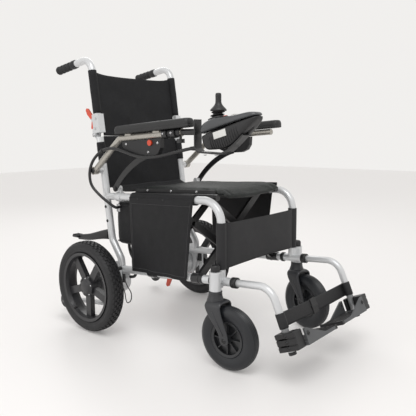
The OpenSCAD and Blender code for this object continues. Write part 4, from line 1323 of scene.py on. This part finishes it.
def controller():
    body = "right_arm"
    top = shell("control_top", 0.4, TOP_LINE, body, SHELL_GREY)
    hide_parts("controller_top")
    subdivided(top, 1)
    low = shell("control_low", 0.0, LOW_LINE, body, SHELL_BLACK)
    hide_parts("controller_base")
    subdivided(low, 1)
    # upright ribs along the lower shell's sides
    for n, y in enumerate(range(-40, 62, 8)):
        depth = -profile_z(y, LOW_LINE)
        for side, s in SIDES.items():
            line = [control(s * side_x(y, inset), y, -depth * share)
                    for inset, share in ((0.8, 0.32), (0.9, 0.55), (2.0, 0.8), (5.0, 0.94))]
            sweep(f"{side}_shell_rib_{n}", eased(line, 3), 0.0015, SHELL_BLACK, body, 8)
    # collar and bellows round the stick, the upper folds following it
    foot = control(0, 40, 31.5)
    up = control(0, 40, 32.5) - foot
    collar = [(25.5, -3), (26, 0.4), (25, 2.4), (23, 3.2), (21, 3.2), (21, -3)]
    lathe("stick_collar", collar, foot, up.normalized(), SHELL_BLACK, body, 56)
    rings = []
    pivot = control(0, 40, 10)
    tip = pivot + UP * 0.043
    waves = ((22, 0.0), (22.5, 0.04), (13.5, 0.15), (13, 0.24), (21, 0.35), (21, 0.42), (12.5, 0.54),
             (12.5, 0.64), (19.5, 0.76), (19.5, 0.83), (12, 0.93), (12, 1.0))
    for radius, t in waves:
        spot = foot + up.normalized() * 0.002
        centre = spot.lerp(tip, t)
        lean = up.normalized().lerp(UP, t).normalized()
        side, across = frame_of(lean)
        rings.append([
            centre
            + (side * math.cos(math.tau * k / 44) + across * math.sin(math.tau * k / 44)) * (radius / 1000)
            for k in range(44)
        ])
    boot = loft("stick_bellows", rings, BELLOWS, None)
    subdivided(boot, 1)
    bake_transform(boot)
    knob = [(0, 40.5), (18, 40.8), (22.6, 42), (23.2, 43.6), (22.4, 46), (18.5, 50.4), (13, 56), (9.8, 61),
            (8.4, 66), (8.2, 74), (8.4, 82), (8.2, 87), (7.0, 90.2), (3.5, 91), (0, 91)]
    stick = lathe("stick_knob", knob, pivot, UP, SHELL_BLACK, "joystick", 48)
    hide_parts("joystick")
    # bezels round the keys, a blank label, screws under the shell and the cable's strain relief
    for name, x in (("power", -13), ("horn", 13)):
        ring(f"{name}_bezel", control(x, 0, 25.6), up.normalized(), 6.4, 8.0, 1.6, SHELL_BLACK, body, 32)
    block("label", (-PLAN_HALF - 1.4, -6, -28), (-PLAN_HALF + 3, 38, -9), LABEL, body, control, 0.0006)
    along = (at(-ARM_X, -400, arm_z(-400)) - at(-ARM_X, -300, arm_z(-300))).normalized()
    for k, (y, length) in enumerate(((-349, 15), (-383, 20))):
        band = [(10.6, 0), (12.6, 0.8), (12.6, length - 0.8), (10.6, length)]
        lathe(f"clamp_sleeve_{k}", band, at(-ARM_X, y, arm_z(y)), along, BLACK_PLASTIC, body, 36)
    nozzle = [(0, 0), (7.2, 0), (7.2, 3), (6.0, 4), (6.0, 7), (6.6, 7.6), (6.6, 10), (5.4, 11),
              (5.4, 14), (6, 14.6),
              (6, 17), (5.6, 18.5), (5.3, 24), (0, 24)]
    start, after = at(-ARM_X, -459.5, 640), at(-ARM_X, -440, 639.2)
    lathe("strain_relief", nozzle, start, after - start, BLACK_PLASTIC, body, 28)
    for k, y in enumerate((-500, -540)):
        bolt(f"bracket_bolt_{k}", at(-240, y, 622.6), Vector((0, 0, -1)), 4.0, STEEL, body, 2.4)
    for k, y in enumerate((-337, -371)):
        bolt(f"clamp_screw_{k}", at(-247.4, y, arm_z(y)), Vector((-1, 0, 0)), 3.0, STEEL, body, 2.4)


controller()


# ---- Cables ----


def length_of(path):
    return sum((b - a).length for a, b in zip(path, path[1:]))


def laid_cord(name, stops, steps, radius, sides, node, body=None):
    """A cord swept along a smooth run through stops, in construction millimetres."""
    path = eased([at(*p) for p in stops], steps)
    run = sweep(name, path, radius, CABLE, body, sides)
    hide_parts(node)
    length = round(length_of(path), 3)
    tuple(path[0])
    [tuple(p) for p in path]
    return run


def cables():
    """The controller's cable, which bends at the arm's pivot, and the battery's two leads."""
    stops = [
        (-232, -459, 640), (-232, -450, 640), (-237, -430, 637), (-244, -400, 630),
        (-245, -350, 620), (-245, -300, 612), (-245, -250, 610), (-245, -200, 616),
        (-246, -150, 628), (-247, -100, 636), (-249, -50, 628), (-250, -10, 604), (-251, 14, 574),
        (-250, 24, 540), (-246, 18, 505), (-234, -10, 472), (-214, -40, 442), (-200, -50, 430),
        (-184.8, -50, 430),
    ]
    run = laid_cord("control_cable", stops, 5, 0.005, 14, "controller_cable")
    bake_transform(run)
    lead = [
        (-152, -60, 297.2), (-152, -60, 284), (-153, -68, 262), (-155, -84, 244), (-158, -100, 222),
        (-158, -98, 196), (-154, -84, 179.4), (-154, -62, 174),
    ]
    laid_cord("battery_lead", lead, 6, 0.0055, 16, "battery_cables", "right_frame")
    loop = [
        (-178, -56, 188), (-182, -64, 172), (-188, -84, 152), (-188, -104, 130), (-188, -102, 104),
        (-188, -84, 90), (-186, -72, 100), (-184, -66, 120), (-182, -56, 138),
    ]
    laid_cord("motor_loop", loop, 6, 0.0018, 10, "battery_cables", "right_frame")
    # a tie round the cable near the arm's pivot
    ring("cable_tie", at(-249, -50, 628), Vector((0, -1, 0.2)), 5.0, 7.2, 5.0, BLACK_PLASTIC,
         "right_arm", 24)


cables()
